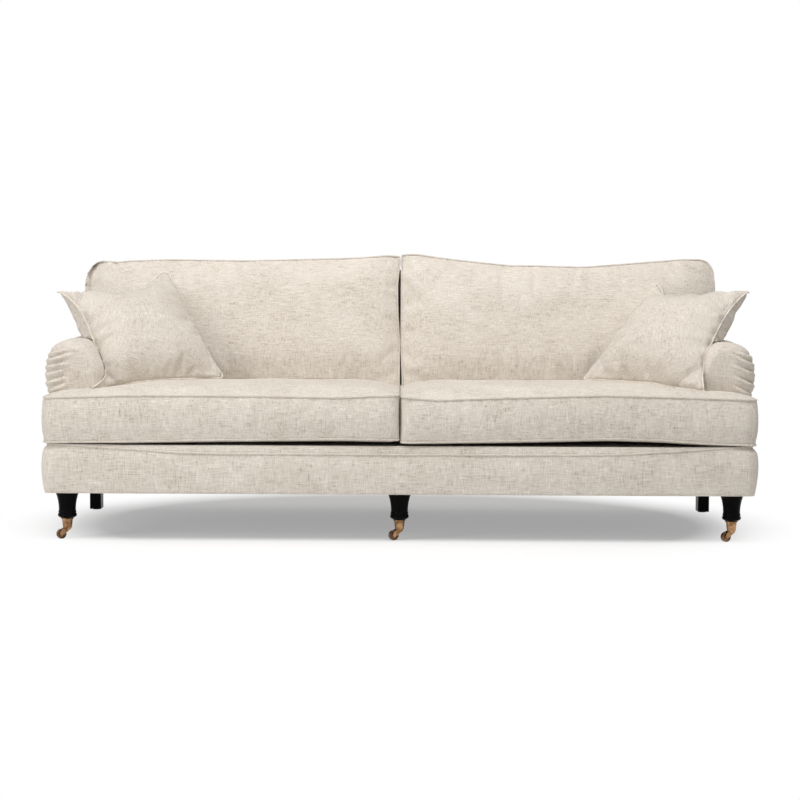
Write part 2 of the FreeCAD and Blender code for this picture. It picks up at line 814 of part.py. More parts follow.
def back_upholstery(arm):
    """The stuffed inside, sides and top of the back, notched round the arms."""
    half = value("frame_half")

    def slab(corners, low_x, high_x):
        points = [Vector(low_x, value(y), value(z)) for y, z in corners]
        return Part.Face(Part.makePolygon(points + points[:1])).extrude(Vector(high_x - low_x, 0, 0))

    face_foot = leaning("pad_face_foot", "back_lean", "deck_top")
    face_top = leaning("pad_face_foot", "back_lean", "back_height")
    inside = slab([
        (face_foot, "deck_top"),
        (leaning("post_face_foot", "back_lean", "deck_top"), "deck_top"),
        ("post_face_top", "post_top"),
        ("post_back_top + border_wall", "post_top"),
        ("post_back_top + border_wall", "back_height"),
        (face_top, "back_height"),
    ], -half, half)
    side = slab([
        ("post_face_foot", "rail_top"),
        ("frame_rear", "rail_top"),
        ("post_back_top", "post_top"),
        ("post_face_top", "post_top"),
    ], value("rail_inner"), half)
    other_side = mirrored(side)
    both = inside.fuse([side, other_side]).removeSplitter()
    other_arm = mirrored(arm)
    straps = pieces["back_webbing"].Shape
    notched = both.cut([arm, other_arm, straps])
    edges = []
    top = value("back_height")
    for edge in notched.Edges:
        box = edge.BoundBox
        if box.ZMin > top - TOUCH and box.XLength > half:
            edges.append(edge)
    shaped("back_upholstery", notched.makeFillet(value("back_edge"), edges))


def drawn_line(start, end, draw, inward):
    """A line between two corners, or an arc where its middle is drawn inward."""
    if draw <= 0:
        return Part.makeLine(start, end)
    return Part.Arc(start, (start + end) / 2 + inward * draw, end).toShape()


def drawn_outline(points, draws, inwards):
    """A closed outline whose sides are each drawn in by their own amount."""
    edges = []
    for number, (draw, inward) in enumerate(zip(draws, inwards)):
        edges.append(drawn_line(points[number], points[(number + 1) % len(points)], draw, inward))
    return edges


def curve_through(points):
    """One smooth edge through a row of points."""
    curve = Part.BSplineCurve()
    curve.interpolate(points)
    return curve.toShape()


def rounded_prism(edges, way, radius, corners):
    """A prism on a closed outline, rounded where it passes the listed corners."""
    prism = Part.Face(Part.Wire(edges)).extrude(way)
    rounded = []
    for edge in prism.Edges:
        ends = [vertex.Point for vertex in edge.Vertexes]
        for corner in corners:
            if any(point.isEqual(corner, TOUCH) for point in ends):
                if any(point.isEqual(corner + way, TOUCH) for point in ends):
                    rounded.append(edge)
    return prism.makeFillet(radius, rounded)


def seat_section(x, inset, crown, belly):
    """One slice across a seat cushion: a flat front and rear, a crowned top and a bellied underside."""
    front = -value("cushion_front") + inset
    rear = value("cushion_rear") - inset
    low = value("cushion_low_welt") + inset
    top = value("cushion_top_welt") - inset
    middle = (front + rear) / 2
    corners = [Vector(x, front, low), Vector(x, rear, low), Vector(x, rear, top), Vector(x, front, top)]
    crowned = [corners[3]]
    for place, height in zip(CROWN_PLACES, CROWN_HEIGHTS):
        crowned.append(corners[3] + Vector(0, (rear - front) * place, crown * height))
    crowned.append(corners[2])
    return Part.Wire([
        Part.Arc(corners[0], Vector(x, middle, low - belly), corners[1]).toShape(),
        Part.makeLine(corners[1], corners[2]),
        curve_through(crowned),
        Part.makeLine(corners[3], corners[0]),
    ])


def seat_form(inset):
    """The right seat cushion inset all round: crowned, with drawn-in sides and an ear before the arm."""
    inner = value("cushion_inner") + inset
    outer = value("base_half") - inset
    side = value("cushion_side") - inset
    front = -value("cushion_front") + inset
    ear = value("cushion_ear") - inset
    rear = value("cushion_rear") - inset
    low = value("deck_top") - value("cushion_belly")
    height = value("cushion_top_welt") + 2 * value("cushion_crown") - low
    draw = value("cushion_draw")
    corners = [(inner, front), (outer, front), (outer, ear), (side, ear), (side, rear), (inner, rear)]
    points = [Vector(x, y, low) for x, y in corners]
    back = Vector(0, 1, 0)
    left = Vector(-1, 0, 0)
    plan = rounded_prism(
        drawn_outline(points, (draw, draw / 4, 0, draw / 2, draw / 2, 0), (back, left, back, left, -back, left)),
        Vector(0, 0, height),
        value("cushion_corner") - inset,
        points[1:2],
    )
    end_crown = value("cushion_end_crown")
    crown = value("cushion_crown") - end_crown
    belly = value("cushion_belly")
    sections = []
    for station, full in zip(STATIONS, FULLNESS):
        x = inner + (outer - inner) * station
        sections.append(seat_section(x, inset, end_crown + crown * full, belly * (1 + full) / 2))
    return Part.makeLoft(sections, True, False).common(plan)


def seat_cushions():
    """A cover and a foam core for each seat cushion, pressed in where the back cushion rests on it."""
    rest = value("rest_gap")
    wall = value("cover_wall")
    outside = seat_form(0).cut(back_form(-rest, "right"))
    core = seat_form(wall).cut(back_form(-rest - wall, "right"))
    both_sides("seat_cushion_core", core)
    both_sides("seat_cushion_cover", outside.cut(core))


def back_section(x, inset, crown):
    """One slice across a back cushion, crowned in front, from its sagged foot to above its top line."""
    low = value("back_cushion_foot") + inset
    top = value("back_cushion_peak") - inset
    front_low = value("back_cushion_foot_front") + inset
    front_top = value("back_cushion_top_front") + inset
    rest = value("rest_gap") + inset
    rear_low = value(leaning("pad_face_foot", "back_lean", "back_cushion_foot")) - rest
    rear_top = value(leaning("pad_face_foot", "back_lean", "back_cushion_peak")) - rest
    corners = [
        Vector(x, front_low, low),
        Vector(x, rear_low, low),
        Vector(x, rear_top, top),
        Vector(x, front_top, top),
    ]
    face = (corners[3] + corners[0]) / 2 + Vector(0, -crown, crown * FACE_LIFT)
    return Part.Wire([
        Part.makeLine(corners[0], corners[1]),
        Part.makeLine(corners[1], corners[2]),
        Part.makeLine(corners[2], corners[3]),
        Part.Arc(corners[3], face, corners[0]).toShape(),
    ])


def back_outline(inset, side):
    """A back cushion seen from the front, drawn on the right: its own top line, an ear and a sagging corner."""
    inner = value("cushion_inner") + inset
    tuck = value("cushion_side") - inset
    outer = value("back_cushion_half") - inset
    low = value("back_cushion_low") + inset
    ear = value("back_cushion_ear") + inset
    top = value("back_cushion_top") - inset
    sag = value("back_cushion_sag")
    near = -value("cushion_front")
    width = outer - inner

    def at(x, z):
        return Vector(x, near, z)

    def top_at(place, share):
        return at(inner + width * share, top + value(side + "_back_" + place + "_rise"))

    foot = [
        at(inner, low - sag),
        at(inner + width * SAG_REACH / 2, low - sag * SAG_HALFWAY),
        at(inner + width * SAG_REACH, low),
    ]
    peaks = [top_at("outer", 1), top_at("middle", MIDDLE_PLACE), top_at("shoulder", SHOULDER_PLACE),
             top_at("inner", 0)]
    draw = value("back_cushion_draw")
    left = Vector(-1, 0, 0)
    edges = [
        curve_through(foot),
        Part.makeLine(foot[-1], at(tuck, low)),
        drawn_line(at(tuck, low), at(tuck, ear), draw / 2, left),
        Part.makeLine(at(tuck, ear), at(outer, ear)),
        drawn_line(at(outer, ear), peaks[0], draw, left),
        curve_through(peaks),
        drawn_line(peaks[-1], foot[0], draw / 2, -left),
    ]
    return edges, [peaks[0], peaks[-1]]


def back_form(inset, side):
    """A back cushion inset all round, drawn on the right, with an ear that reaches out over the arm."""
    edges, corners = back_outline(inset, side)
    depth = value("base_rear") + value("cushion_front") + value("base_rear")
    outline = rounded_prism(edges, Vector(0, depth, 0), value("back_cushion_corner") - inset, corners)
    inner = value("cushion_inner") + inset
    outer = value("back_cushion_half") - inset
    end_crown = value("back_cushion_end_crown")
    crown = value("back_cushion_crown") - end_crown
    sections = []
    for station, full in zip(STATIONS, FULLNESS):
        x = inner + (outer - inner) * station
        sections.append(back_section(x, inset, end_crown + crown * full))
    return Part.makeLoft(sections, True, False).common(outline)


def back_cushions():
    """A cover and a foam core for each back cushion; the two differ along their tops."""
    for side, sign in sides():
        outside = back_form(0, side)
        core = back_form(value("cover_wall"), side)
        cover = outside.cut(core)
        if sign < 0:
            core = mirrored(core)
            cover = mirrored(cover)
        shaped("back_cushion_core_" + side, core)
        shaped("back_cushion_cover_" + side, cover)


def scatter_form(inset):
    """A scatter cushion about the origin, facing -Y: a lens between four drawn-in edges."""
    half = value("scatter_side") / 2 - inset
    thick = value("scatter_thickness") - 2 * inset
    edge = value("scatter_edge") - inset
    draw = value("scatter_draw")
    sections = []
    for station, full in zip(SCATTER_STATIONS, SCATTER_FULLNESS):
        x = half * station
        bulge = (edge + (thick - edge) * full) / 2
        low = Vector(x, 0, -half)
        high = Vector(x, 0, half)
        sections.append(Part.Wire([
            Part.Arc(low, Vector(x, -bulge, 0), high).toShape(),
            Part.Arc(high, Vector(x, bulge, 0), low).toShape(),
        ]))
    lens = Part.makeLoft(sections, True, False)
    points = [Vector(-half, -thick, -half), Vector(half, -thick, -half),
              Vector(half, -thick, half), Vector(-half, -thick, half)]
    right = Vector(1, 0, 0)
    up = Vector(0, 0, 1)
    edges = drawn_outline(points, (draw, draw, draw, draw), (up, -right, -up, right))
    outline = Part.Face(Part.Wire(edges)).extrude(Vector(0, 2 * thick, 0))
    return lens.common(outline)


def scatter_cushions():
    """A cover and an inner pad for each scatter cushion, dented where it leans on its neighbours."""
    turn = FreeCAD.Rotation(Vector(0, 0, 1), -value("scatter_turn"))
    lean = FreeCAD.Rotation(Vector(1, 0, 0), -value("scatter_lean"))
    tilt = FreeCAD.Rotation(Vector(0, 1, 0), value("scatter_tilt"))
    middle = Vector(value("scatter_out"), value("scatter_back"), value("scatter_up"))
    place = FreeCAD.Placement(middle, turn.multiply(lean).multiply(tilt))
    wall = value("cover_wall")

    def dented(inset):
        form = scatter_form(inset)
        form.Placement = place
        clear = -value("rest_gap") - inset
        return form.cut([arm_form(clear), seat_form(clear), back_form(clear, "right")])

    outside = dented(0)
    pad = dented(wall)
    both_sides("scatter_cushion_pad", pad)
    both_sides("scatter_cushion_cover", outside.cut(pad))


def front_legs():
    """Turned legs with two beads above the caster cup and a spigot inside it."""
    corners = [
        ("bolt_radius", "rail_bottom"),
        ("leg_top_radius", "rail_bottom", "leg_taper_curve", -1),
        ("leg_neck_radius", "leg_neck_up"),
        ("leg_neck_radius", "leg_ring_low + 2 * leg_bead_rise", "leg_bead_curve", 1),
        ("leg_neck_radius", "leg_ring_low + leg_bead_rise"),
        ("leg_ring_radius", "leg_ring_low + leg_bead_rise", "leg_ring_curve", 1),
        ("leg_ring_radius", "leg_ring_low"),
        ("cup_rim_radius", "cup_top"),
        ("leg_spigot_radius", "cup_top"),
        ("leg_spigot_radius", "cup_spigot_foot"),
        ("0", "cup_spigot_foot"),
        ("0", "rail_bottom - bolt_in_leg"),
        ("bolt_radius", "rail_bottom - bolt_in_leg"),
    ]
    for name, x, y in bolt_places():
        if name.startswith("front"):
            keep(name, turned(name, "XZ", corners, x, y, "0"))


def rear_legs():
    """Square legs bored for their bolts, on round glides."""
    glides = []
    for name, x, y in bolt_places():
        if name.startswith("front"):
            continue
        plain = rear_leg_block("plain_" + name, x, y, "glide_wall")
        bore = rod("leg_bore_" + name, "bolt_radius", "rail_bottom - bolt_in_leg", "rail_bottom", x, y)
        keep(name, without(name, plain, [bore]))
        corners = [
            ("0", "0"),
            ("glide_radius - glide_edge", "0", "glide_edge", -1),
            ("glide_radius", "glide_edge"),
            ("glide_radius", "glide_wall"),
            ("0", "glide_wall"),
        ]
        glides.append(turned("glide_" + name, "XZ", corners, x, y, "0"))
    keep("rear_leg_glides", together("rear_leg_glides", glides))


def caster_cup(leg, x, y):
    """The brass cup on a leg's foot, open above and bored below for the pintle."""
    bore = "pintle_radius + pintle_play"
    rim_low = "cup_top - cup_rim_height"
    floor = "cup_foot_up + cup_floor"
    corners = [
        (bore, "cup_foot_up"),
        ("cup_foot_radius", "cup_foot_up"),
        ("cup_top_radius", rim_low),
        ("cup_rim_radius", rim_low, "cup_rim_curve", -1),
        ("cup_rim_radius", "cup_top"),
        ("leg_spigot_radius", "cup_top"),
        ("leg_spigot_radius", floor),
        (bore, floor),
    ]
    return turned("cup_" + leg, "XZ", corners, x, y, "0")


def caster_fork(name, x, y):
    """The swivelling horn: a hub on a headed pintle, and two arms that trail to the wheel's axle."""
    head_top = "pintle_head_low + pintle_head_height"
    corners = [
        ("0", "fork_hub_low"),
        ("fork_hub_radius", "fork_hub_low"),
        ("fork_hub_radius", "fork_top"),
        ("pintle_radius", "fork_top"),
        ("pintle_radius", "pintle_head_low"),
        ("pintle_head_radius", "pintle_head_low"),
        ("pintle_head_radius", head_top),
        ("0", head_top),
    ]
    body = turned(name, "XZ", corners, x, y, "0", "caster_turn")
    arm_outline = [
        ("-fork_root_rear", "fork_hub_low"),
        ("caster_trail - fork_eye_radius", "wheel_radius - fork_eye_drop"),
        ("caster_trail", "wheel_radius - fork_eye_radius", "fork_eye_radius", -1),
        ("caster_trail + fork_eye_radius", "wheel_radius", "fork_back_curve", -1),
        ("fork_root_front", "fork_top"),
        ("-fork_root_rear", "fork_top"),
    ]
    arms = body.newObject("PartDesign::Pad", name + "_arms")
    arms.Profile = sketched(body, "XZ", arm_outline)
    arms.Midplane = True
    bind(arms, "Length", "2 * fork_outer")
    slot_outline = [
        ("-fork_hub_radius", "0"),
        ("caster_trail + wheel_radius * 2", "0"),
        ("caster_trail + wheel_radius * 2", "fork_hub_low"),
        ("-fork_hub_radius", "fork_hub_low"),
    ]
    slot = body.newObject("PartDesign::Pocket", name + "_slot")
    slot.Profile = sketched(body, "XZ", slot_outline)
    slot.Midplane = True
    bind(slot, "Length", "2 * fork_inner")
    crown_slot_outline = [
        ("fork_hub_radius", "fork_hub_low"),
        ("caster_trail + wheel_radius * 2", "fork_hub_low"),
        ("caster_trail + wheel_radius * 2", "fork_top"),
        ("fork_hub_radius", "fork_top"),
    ]
    crown_slot = body.newObject("PartDesign::Pocket", name + "_crown_slot")
    crown_slot.Profile = sketched(body, "XZ", crown_slot_outline)
    crown_slot.Midplane = True
    bind(crown_slot, "Length", "2 * fork_inner")
    eye = body.newObject("Sketcher::SketchObject", name + "_eye")
    support = [face for face in body.Origin.OriginFeatures if face.Role == "XZ_Plane"][0]
    eye.AttachmentSupport = [(support, "")]
    eye.MapMode = "FlatFace"
    centre = Vector(value("caster_trail"), value("wheel_radius"), 0)
    eye.addGeometry(Part.Circle(centre, Vector(0, 0, 1), value("axle_radius")), False)
    for kind, text in (("DistanceX", "caster_trail"), ("DistanceY", "wheel_radius")):
        number = eye.addConstraint(Sketcher.Constraint(kind, -1, 1, 0, 3, value(text)))
        eye.setExpression(f"Constraints[{number}]", written_out(text))
    number = eye.addConstraint(Sketcher.Constraint("Radius", 0, value("axle_radius")))
    eye.setExpression(f"Constraints[{number}]", written_out("axle_radius"))
    bores = body.newObject("PartDesign::Pocket", name + "_bores")
    bores.Profile = eye
    bores.Midplane = True
    bind(bores, "Length", "3 * fork_outer")
    return body


def caster_wheel(name, x, y):
    """A wheel with a dished face each side and a softened tread, bored for its axle."""
    half = "wheel_width / 2"
    bore = "axle_radius + axle_play"
    rim = "wheel_radius - wheel_rim_wall"
    corners = [
        (bore, f"-({half})"),
        ("wheel_hub_radius", f"-({half})"),
        ("wheel_hub_radius", f"-({half} - wheel_recess)"),
        (rim, f"-({half} - wheel_recess)"),
        (rim, f"-({half})"),
        ("wheel_radius - wheel_edge", f"-({half})", "wheel_edge", -1),
        ("wheel_radius", f"-({half} - wheel_edge)"),
        ("wheel_radius", f"{half} - wheel_edge", "wheel_edge", -1),
        ("wheel_radius - wheel_edge", half),
        (rim, half),
        (rim, f"{half} - wheel_recess"),
        ("wheel_hub_radius", f"{half} - wheel_recess"),
        ("wheel_hub_radius", half),
        (bore, half),
    ]
    return turned(name, "XY", corners, x, y, "wheel_radius", "caster_turn")


def caster_axle(name, x, y):
    """The riveted pin that holds a wheel in its fork."""
    end = "fork_outer + rivet_height"
    corners = [
        ("0", f"-({end})"),
        ("rivet_radius", f"-({end})"),
        ("rivet_radius", "-fork_outer"),
        ("axle_radius", "-fork_outer"),
        ("axle_radius", "fork_outer"),
        ("rivet_radius", "fork_outer"),
        ("rivet_radius", end),
        ("0", end),
    ]
    return turned(name, "XY", corners, x, y, "wheel_radius", "caster_turn")


def casters():
    """Cup, fork, axle and wheel under each front leg."""
    cups = []
    for leg, x, y in bolt_places():
        if leg.startswith("rear"):
            continue
        place = leg.replace("front_leg_", "")
        cups.append(caster_cup(leg, x, y))
        wheel_x = f"{x} + caster_trail * cos(caster_turn)"
        wheel_y = f"{y} + caster_trail * sin(caster_turn)"
        keep("caster_fork_" + place, caster_fork("caster_fork_" + place, x, y))
        keep("caster_wheel_" + place, caster_wheel("caster_wheel_" + place, wheel_x, wheel_y))
        keep("caster_axle_" + place, caster_axle("caster_axle_" + place, wheel_x, wheel_y))
    keep("caster_cups", together("caster_cups", cups))


def checked_and_written():
    """Stop on any failed object or bad shape, then write every sub-part."""
    doc.recompute()
    for thing in doc.Objects:
        if "Invalid" in thing.State or "Error" in thing.State:
            raise RuntimeError("failed: " + thing.Name)
    for name, piece in pieces.items():
        if piece.Shape.isNull() or not piece.Shape.isValid():
            raise RuntimeError("bad shape: " + name)
    os.makedirs("parts", exist_ok=True)
    for name, piece in pieces.items():
        piece.Shape.exportStep(f"parts/{name}.step")
    print(len(pieces), "sub-parts written")


bolts_and_blocks(*timber_base())
timber_back()
doc.recompute()
arm_boards()
springs()
deck()
front_border()
outside_panels()
back_upholstery(arms())
seat_cushions()
back_cushions()
scatter_cushions()
front_legs()
rear_legs()
casters()
checked_and_written()
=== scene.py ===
import math

import bpy
import numpy as np
from mathutils import Matrix, Vector
from mathutils.bvhtree import BVHTree


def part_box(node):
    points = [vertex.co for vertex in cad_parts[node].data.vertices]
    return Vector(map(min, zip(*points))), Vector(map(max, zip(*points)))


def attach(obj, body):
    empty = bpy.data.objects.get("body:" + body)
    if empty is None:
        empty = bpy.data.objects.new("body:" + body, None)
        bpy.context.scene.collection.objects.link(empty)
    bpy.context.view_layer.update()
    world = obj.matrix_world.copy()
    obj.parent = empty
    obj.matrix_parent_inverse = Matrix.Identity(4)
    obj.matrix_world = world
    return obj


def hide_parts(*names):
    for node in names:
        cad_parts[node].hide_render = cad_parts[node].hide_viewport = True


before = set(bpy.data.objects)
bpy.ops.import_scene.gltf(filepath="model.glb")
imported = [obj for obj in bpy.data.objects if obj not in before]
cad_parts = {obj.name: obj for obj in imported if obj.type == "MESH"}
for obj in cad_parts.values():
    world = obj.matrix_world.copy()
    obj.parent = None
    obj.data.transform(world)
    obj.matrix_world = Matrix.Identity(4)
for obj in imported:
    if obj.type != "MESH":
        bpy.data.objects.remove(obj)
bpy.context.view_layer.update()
scene = bpy.context.scene
SIDES = (("left", -1), ("right", 1))

# Places taken from the CAD nodes, in metres.
deck_low, deck_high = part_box("deck_pad")
border_low, border_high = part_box("front_border")
seat_low, seat_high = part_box("seat_cushion_cover_right")
back_low, back_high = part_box("back_cushion_cover_right")
arm_low, arm_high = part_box("arm_cover_right")
hull_low, hull_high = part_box("back_upholstery")
panel_low, panel_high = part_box("outside_back_panel")
side_low, side_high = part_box("outside_arm_panel_right")
BASE_HALF = border_high.x
BASE_LOW = border_low.z
DECK = deck_high.z
ARM_TOP = arm_high.z
ARM_INNER = arm_low.x
ARM_FRONT = arm_low.y
SEAT_FRONT = seat_low.y
SEAT_REAR = seat_high.y
LOW_WELT = DECK + 0.011
TOP_WELT = LOW_WELT + 0.145
BACK_FOOT = back_low.z + 0.020
BACK_TOP = BACK_FOOT + 0.410

# The padded back's face stands at PAD_FOOT at deck height, and its outside leans from OUTSIDE_FOOT up.
BACK_LEAN = math.tan(math.radians(11))
PAD_FOOT = 0.300
OUTSIDE_LEAN = math.tan(math.radians(5))
OUTSIDE_FOOT = 0.285

# The loose cushions: grid size, the inner sides' place, the ears' gap to the arms, and the piping's radii.
CELL = 0.0105
INNER = 0.0015
EAR_GAP = 0.002
FACE_FOOT = 0.115
FACE_TOP = 0.235
SEAT_WELT = 0.0036
BACK_WELT = 0.003
ON_EDGE = 1e-6


# Mesh helpers.
def wobble(points, length, seed, ways=7):
    """A smooth field about 0, from -1 to 1, whose ripples are about the given length."""
    rng = np.random.default_rng(seed)
    total = np.zeros(len(points))
    for _ in range(ways):
        way = rng.normal(size=3)
        way *= rng.uniform(0.7, 1.4) / np.linalg.norm(way)
        total += np.sin(points @ way * (2 * math.pi / length) + rng.uniform(0, 2 * math.pi))
    return total / ways ** 0.5 / 1.6


def lines(low, high, step, *fixed):
    """Grid lines from low to high about a step apart, with a line at each fixed place."""
    stops = sorted({low, high, *[place for place in fixed if low < place < high]})
    made = []
    for start, end in zip(stops, stops[1:]):
        made.extend(np.linspace(start, end, max(2, round((end - start) / step) + 1))[:-1])
    return np.array(made + [high])


def lattice(xs, ys, zs, keep=None):
    """The outside of the kept cells of a grid: places, their grid numbers, and quads that face outward."""
    middles = [(line[:-1] + line[1:]) / 2 for line in (xs, ys, zs)]
    kept = np.zeros((len(xs) + 1, len(ys) + 1, len(zs) + 1), bool)
    cells = np.meshgrid(*middles, indexing="ij")
    kept[1:-1, 1:-1, 1:-1] = True if keep is None else keep(*cells)
    around = np.array([(0, 0), (1, 0), (1, 1), (0, 1)])
    quads = []
    for axis in range(3):
        first, second = (axis + 1) % 3, (axis + 2) % 3
        for side in (0, 1):
            beside = np.roll(kept, -1 if side else 1, axis)
            bare = np.argwhere(kept & ~beside) - 1
            order = around if side else around[::-1]
            quad = np.repeat(bare[:, None, :], 4, 1)
            quad[:, :, axis] += side
            quad[:, :, first] += order[:, 0]
            quad[:, :, second] += order[:, 1]
            quads.append(quad)
    corners = np.concatenate(quads).reshape(-1, 3)
    grid, faces = np.unique(corners, axis=0, return_inverse=True)
    points = np.stack([xs[grid[:, 0]], ys[grid[:, 1]], zs[grid[:, 2]]], 1)
    return points, grid, faces.reshape(-1, 4)


def edges_of(faces):
    """Every edge of the quads once."""
    pairs = np.concatenate([faces[:, [a, (a + 1) % 4]] for a in range(4)])
    return np.unique(np.sort(pairs, 1), axis=0)


def relaxed(points, faces, free, times, share=0.5):
    """Each free point moved towards the middle of its neighbours; free is from 0 to 1 for each point."""
    pairs = edges_of(faces)
    count = np.bincount(pairs.ravel(), minlength=len(points))[:, None]
    for _ in range(times):
        total = np.zeros_like(points)
        np.add.at(total, pairs[:, 0], points[pairs[:, 1]])
        np.add.at(total, pairs[:, 1], points[pairs[:, 0]])
        points = points + (total / count - points) * (free[:, None] * share)
    return points


def normals_of(points, faces):
    """Each point's outward direction."""
    across = np.cross(points[faces[:, 2]] - points[faces[:, 0]], points[faces[:, 3]] - points[faces[:, 1]])
    total = np.zeros_like(points)
    for corner in range(4):
        np.add.at(total, faces[:, corner], across)
    return total / np.maximum(np.linalg.norm(total, axis=1), 1e-12)[:, None]


def made(name, points, faces, material, body, slot):
    """A smooth-shaded object that rides on a body."""
    mesh = bpy.data.meshes.new(name)
    mesh.from_pydata(np.asarray(points).tolist(), [], [list(map(int, face)) for face in faces])
    mesh.polygons.foreach_set("use_smooth", [True] * len(mesh.polygons))
    mesh.materials.append(material)
    mesh.update()
    thing = bpy.data.objects.new(name, mesh)
    scene.collection.objects.link(thing)
    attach(thing, body)
    return thing


def places_of(thing):
    """An object's points, which are in the frame's own metres."""
    flat = np.zeros(len(thing.data.vertices) * 3)
    thing.data.vertices.foreach_get("co", flat)
    return flat.reshape(-1, 3)


def set_places(thing, points):
    """Move an object's points."""
    thing.data.vertices.foreach_set("co", np.ascontiguousarray(points, float).ravel())
    thing.data.update()


def piping(name, loops, radius, material, body, slot, closed=True, sides=8):
    """Round cords that follow lines of points."""
    all_points = []
    all_faces = []
    start = 0
    for path in loops:
        path = np.asarray(path, float)
        number = len(path)
        if closed:
            ahead = np.roll(path, -1, 0) - np.roll(path, 1, 0)
        else:
            ahead = np.gradient(path, axis=0)
        ahead /= np.linalg.norm(ahead, axis=1)[:, None]
        side = np.cross(ahead[0], (0.31, 0.47, 0.83))
        rings = []
        for way in ahead:
            side = side - way * (side @ way)
            side /= np.linalg.norm(side)
            rings.append((side, np.cross(way, side)))
        if closed:
            first = rings[0][0] - ahead[-1] * (rings[0][0] @ ahead[-1])
            last_side, last_up = rings[-1]
            twist = math.atan2(first @ last_up, first @ last_side)
        else:
            twist = 0
        for place, (point, (across, up)) in enumerate(zip(path, rings)):
            turn = twist * place / number
            for corner in range(sides):
                angle = 2 * math.pi * corner / sides + turn
                all_points.append(point + radius * (across * math.cos(angle) + up * math.sin(angle)))
        for place in range(number if closed else number - 1):
            after = (place + 1) % number
            for corner in range(sides):
                beside = (corner + 1) % sides
                all_faces.append([start + place * sides + corner, start + place * sides + beside,
                                  start + after * sides + beside, start + after * sides + corner])
        if not closed:
            all_faces.append([start + corner for corner in range(sides)][::-1])
            all_faces.append([start + (number - 1) * sides + corner for corner in range(sides)])
        start += number * sides
    return made(name, all_points, all_faces, material, body, slot)


def ordered_loop(points, chosen, faces):
    """The chosen points in order round the seam that they lie on."""
    pairs = edges_of(faces)
    on = np.zeros(len(points), bool)
    on[chosen] = True
    seam = pairs[on[pairs[:, 0]] & on[pairs[:, 1]]]
    beside = {}
    for a, b in seam:
        beside.setdefault(int(a), []).append(int(b))
        beside.setdefault(int(b), []).append(int(a))
    loop = [int(chosen[0])]
    before = None
    while True:
        ways = [other for other in beside[loop[-1]] if other != before]
        following = ways[0]
        if following == loop[0]:
            return loop
        before = loop[-1]
        loop.append(following)


# Cloth: every cover is queued, and all of them are filled in one simulation.
CLOTH_SETTINGS = {
    "quality": 4, "mass": 0.3, "tension_stiffness": 18, "compression_stiffness": 12, "shear_stiffness": 6,
    "vertex_group_mass": "pins", "use_pressure": True,
}
cloth_jobs = []


def to_inflate(thing, pins, pressure, slack, cap, bending=0.6):
    """Queue a piece for the cloth simulation; pins holds how firmly each point is held, from 0 to 1."""
    cloth_jobs.append((thing, np.asarray(pins, float), pressure, slack, cap, bending))


def pin_group(thing, pins):
    """A vertex group that holds the pins, in steps of a hundredth."""
    group = thing.vertex_groups.new(name="pins")
    for weight in np.unique(np.round(pins, 2)):
        if weight > 0:
            group.add(np.flatnonzero(np.abs(pins - weight) < 0.006).tolist(), float(weight), "REPLACE")


def inflate_all(frames=20):
    """Fill every queued cover with air pressure at once, and keep the result in its mesh."""
    before = {}
    for thing, pins, pressure, slack, _, bending in cloth_jobs:
        pin_group(thing, pins)
        cloth = thing.modifiers.new("cloth", "CLOTH")
        settings = cloth.settings
        for name, value in CLOTH_SETTINGS.items():
            setattr(settings, name, value)
        settings.bending_stiffness = bending
        settings.uniform_pressure_force = pressure
        settings.shrink_min = -slack
        settings.effector_weights.gravity = 0
        cloth.point_cache.frame_start = 1
        cloth.point_cache.frame_end = frames
        before[thing.name] = places_of(thing)
    scene.frame_start = 1
    scene.frame_end = frames
    for moment in range(1, frames + 1):
        scene.frame_set(moment)
    graph = bpy.context.evaluated_depsgraph_get()
    results = {thing.name: places_of(thing.evaluated_get(graph)) for thing, *_ in cloth_jobs}
    for thing, _, _, _, cap, _ in cloth_jobs:
        thing.modifiers.clear()
        thing.vertex_groups.clear()
        rest = before[thing.name]
        moved = results[thing.name] - rest
        far = np.linalg.norm(moved, axis=1)
        moved *= (np.minimum(far, cap) / np.maximum(far, 1e-9))[:, None]
        set_places(thing, rest + moved)
    scene.frame_set(1)


# Materials.
def node_tree(name):
    """A new material with its Principled shader."""
    material = bpy.data.materials.new(name)
    material.use_nodes = True
    return material, material.node_tree, material.node_tree.nodes["Principled BSDF"]


def noise_at(tree, vector, scales, detail=2.0, rough=0.55, scale=1.0):
    """Noise that is stretched by its own scale along each axis."""
    mapping = tree.nodes.new("ShaderNodeMapping")
    mapping.inputs["Scale"].default_value = scales
    tree.links.new(vector, mapping.inputs["Vector"])
    texture = tree.nodes.new("ShaderNodeTexNoise")
    texture.inputs["Scale"].default_value = scale
    texture.inputs["Detail"].default_value = detail
    texture.inputs["Roughness"].default_value = rough
    tree.links.new(mapping.outputs["Vector"], texture.inputs["Vector"])
    return texture.outputs["Fac"]


def sum_of(tree, operation, first, second, third=None):
    """One maths node; a number or a socket on each input."""
    node = tree.nodes.new("ShaderNodeMath")
    node.operation = operation
    for place, source in enumerate((first, second, third)):
        if source is None:
            continue
        if isinstance(source, (int, float)):
            node.inputs[place].default_value = source
        else:
            tree.links.new(source, node.inputs[place])
    return node.outputs[0]


def ramp(tree, source, stops):
    """A colour ramp; each stop is a place and a colour."""
    node = tree.nodes.new("ShaderNodeValToRGB")
    tree.links.new(source, node.inputs["Fac"])
    line = node.color_ramp
    while len(line.elements) < len(stops):
        line.elements.new(0.5)
    for element, (place, colour) in zip(line.elements, stops):
        element.position = place
        element.color = (*colour, 1)
    return node.outputs["Color"]


def bump(tree, shader, height, strength, distance):
    """Relief from a height."""
    node = tree.nodes.new("ShaderNodeBump")
    node.inputs["Strength"].default_value = strength
    node.inputs["Distance"].default_value = distance
    tree.links.new(height, node.inputs["Height"])
    tree.links.new(node.outputs["Normal"], shader.inputs["Normal"])


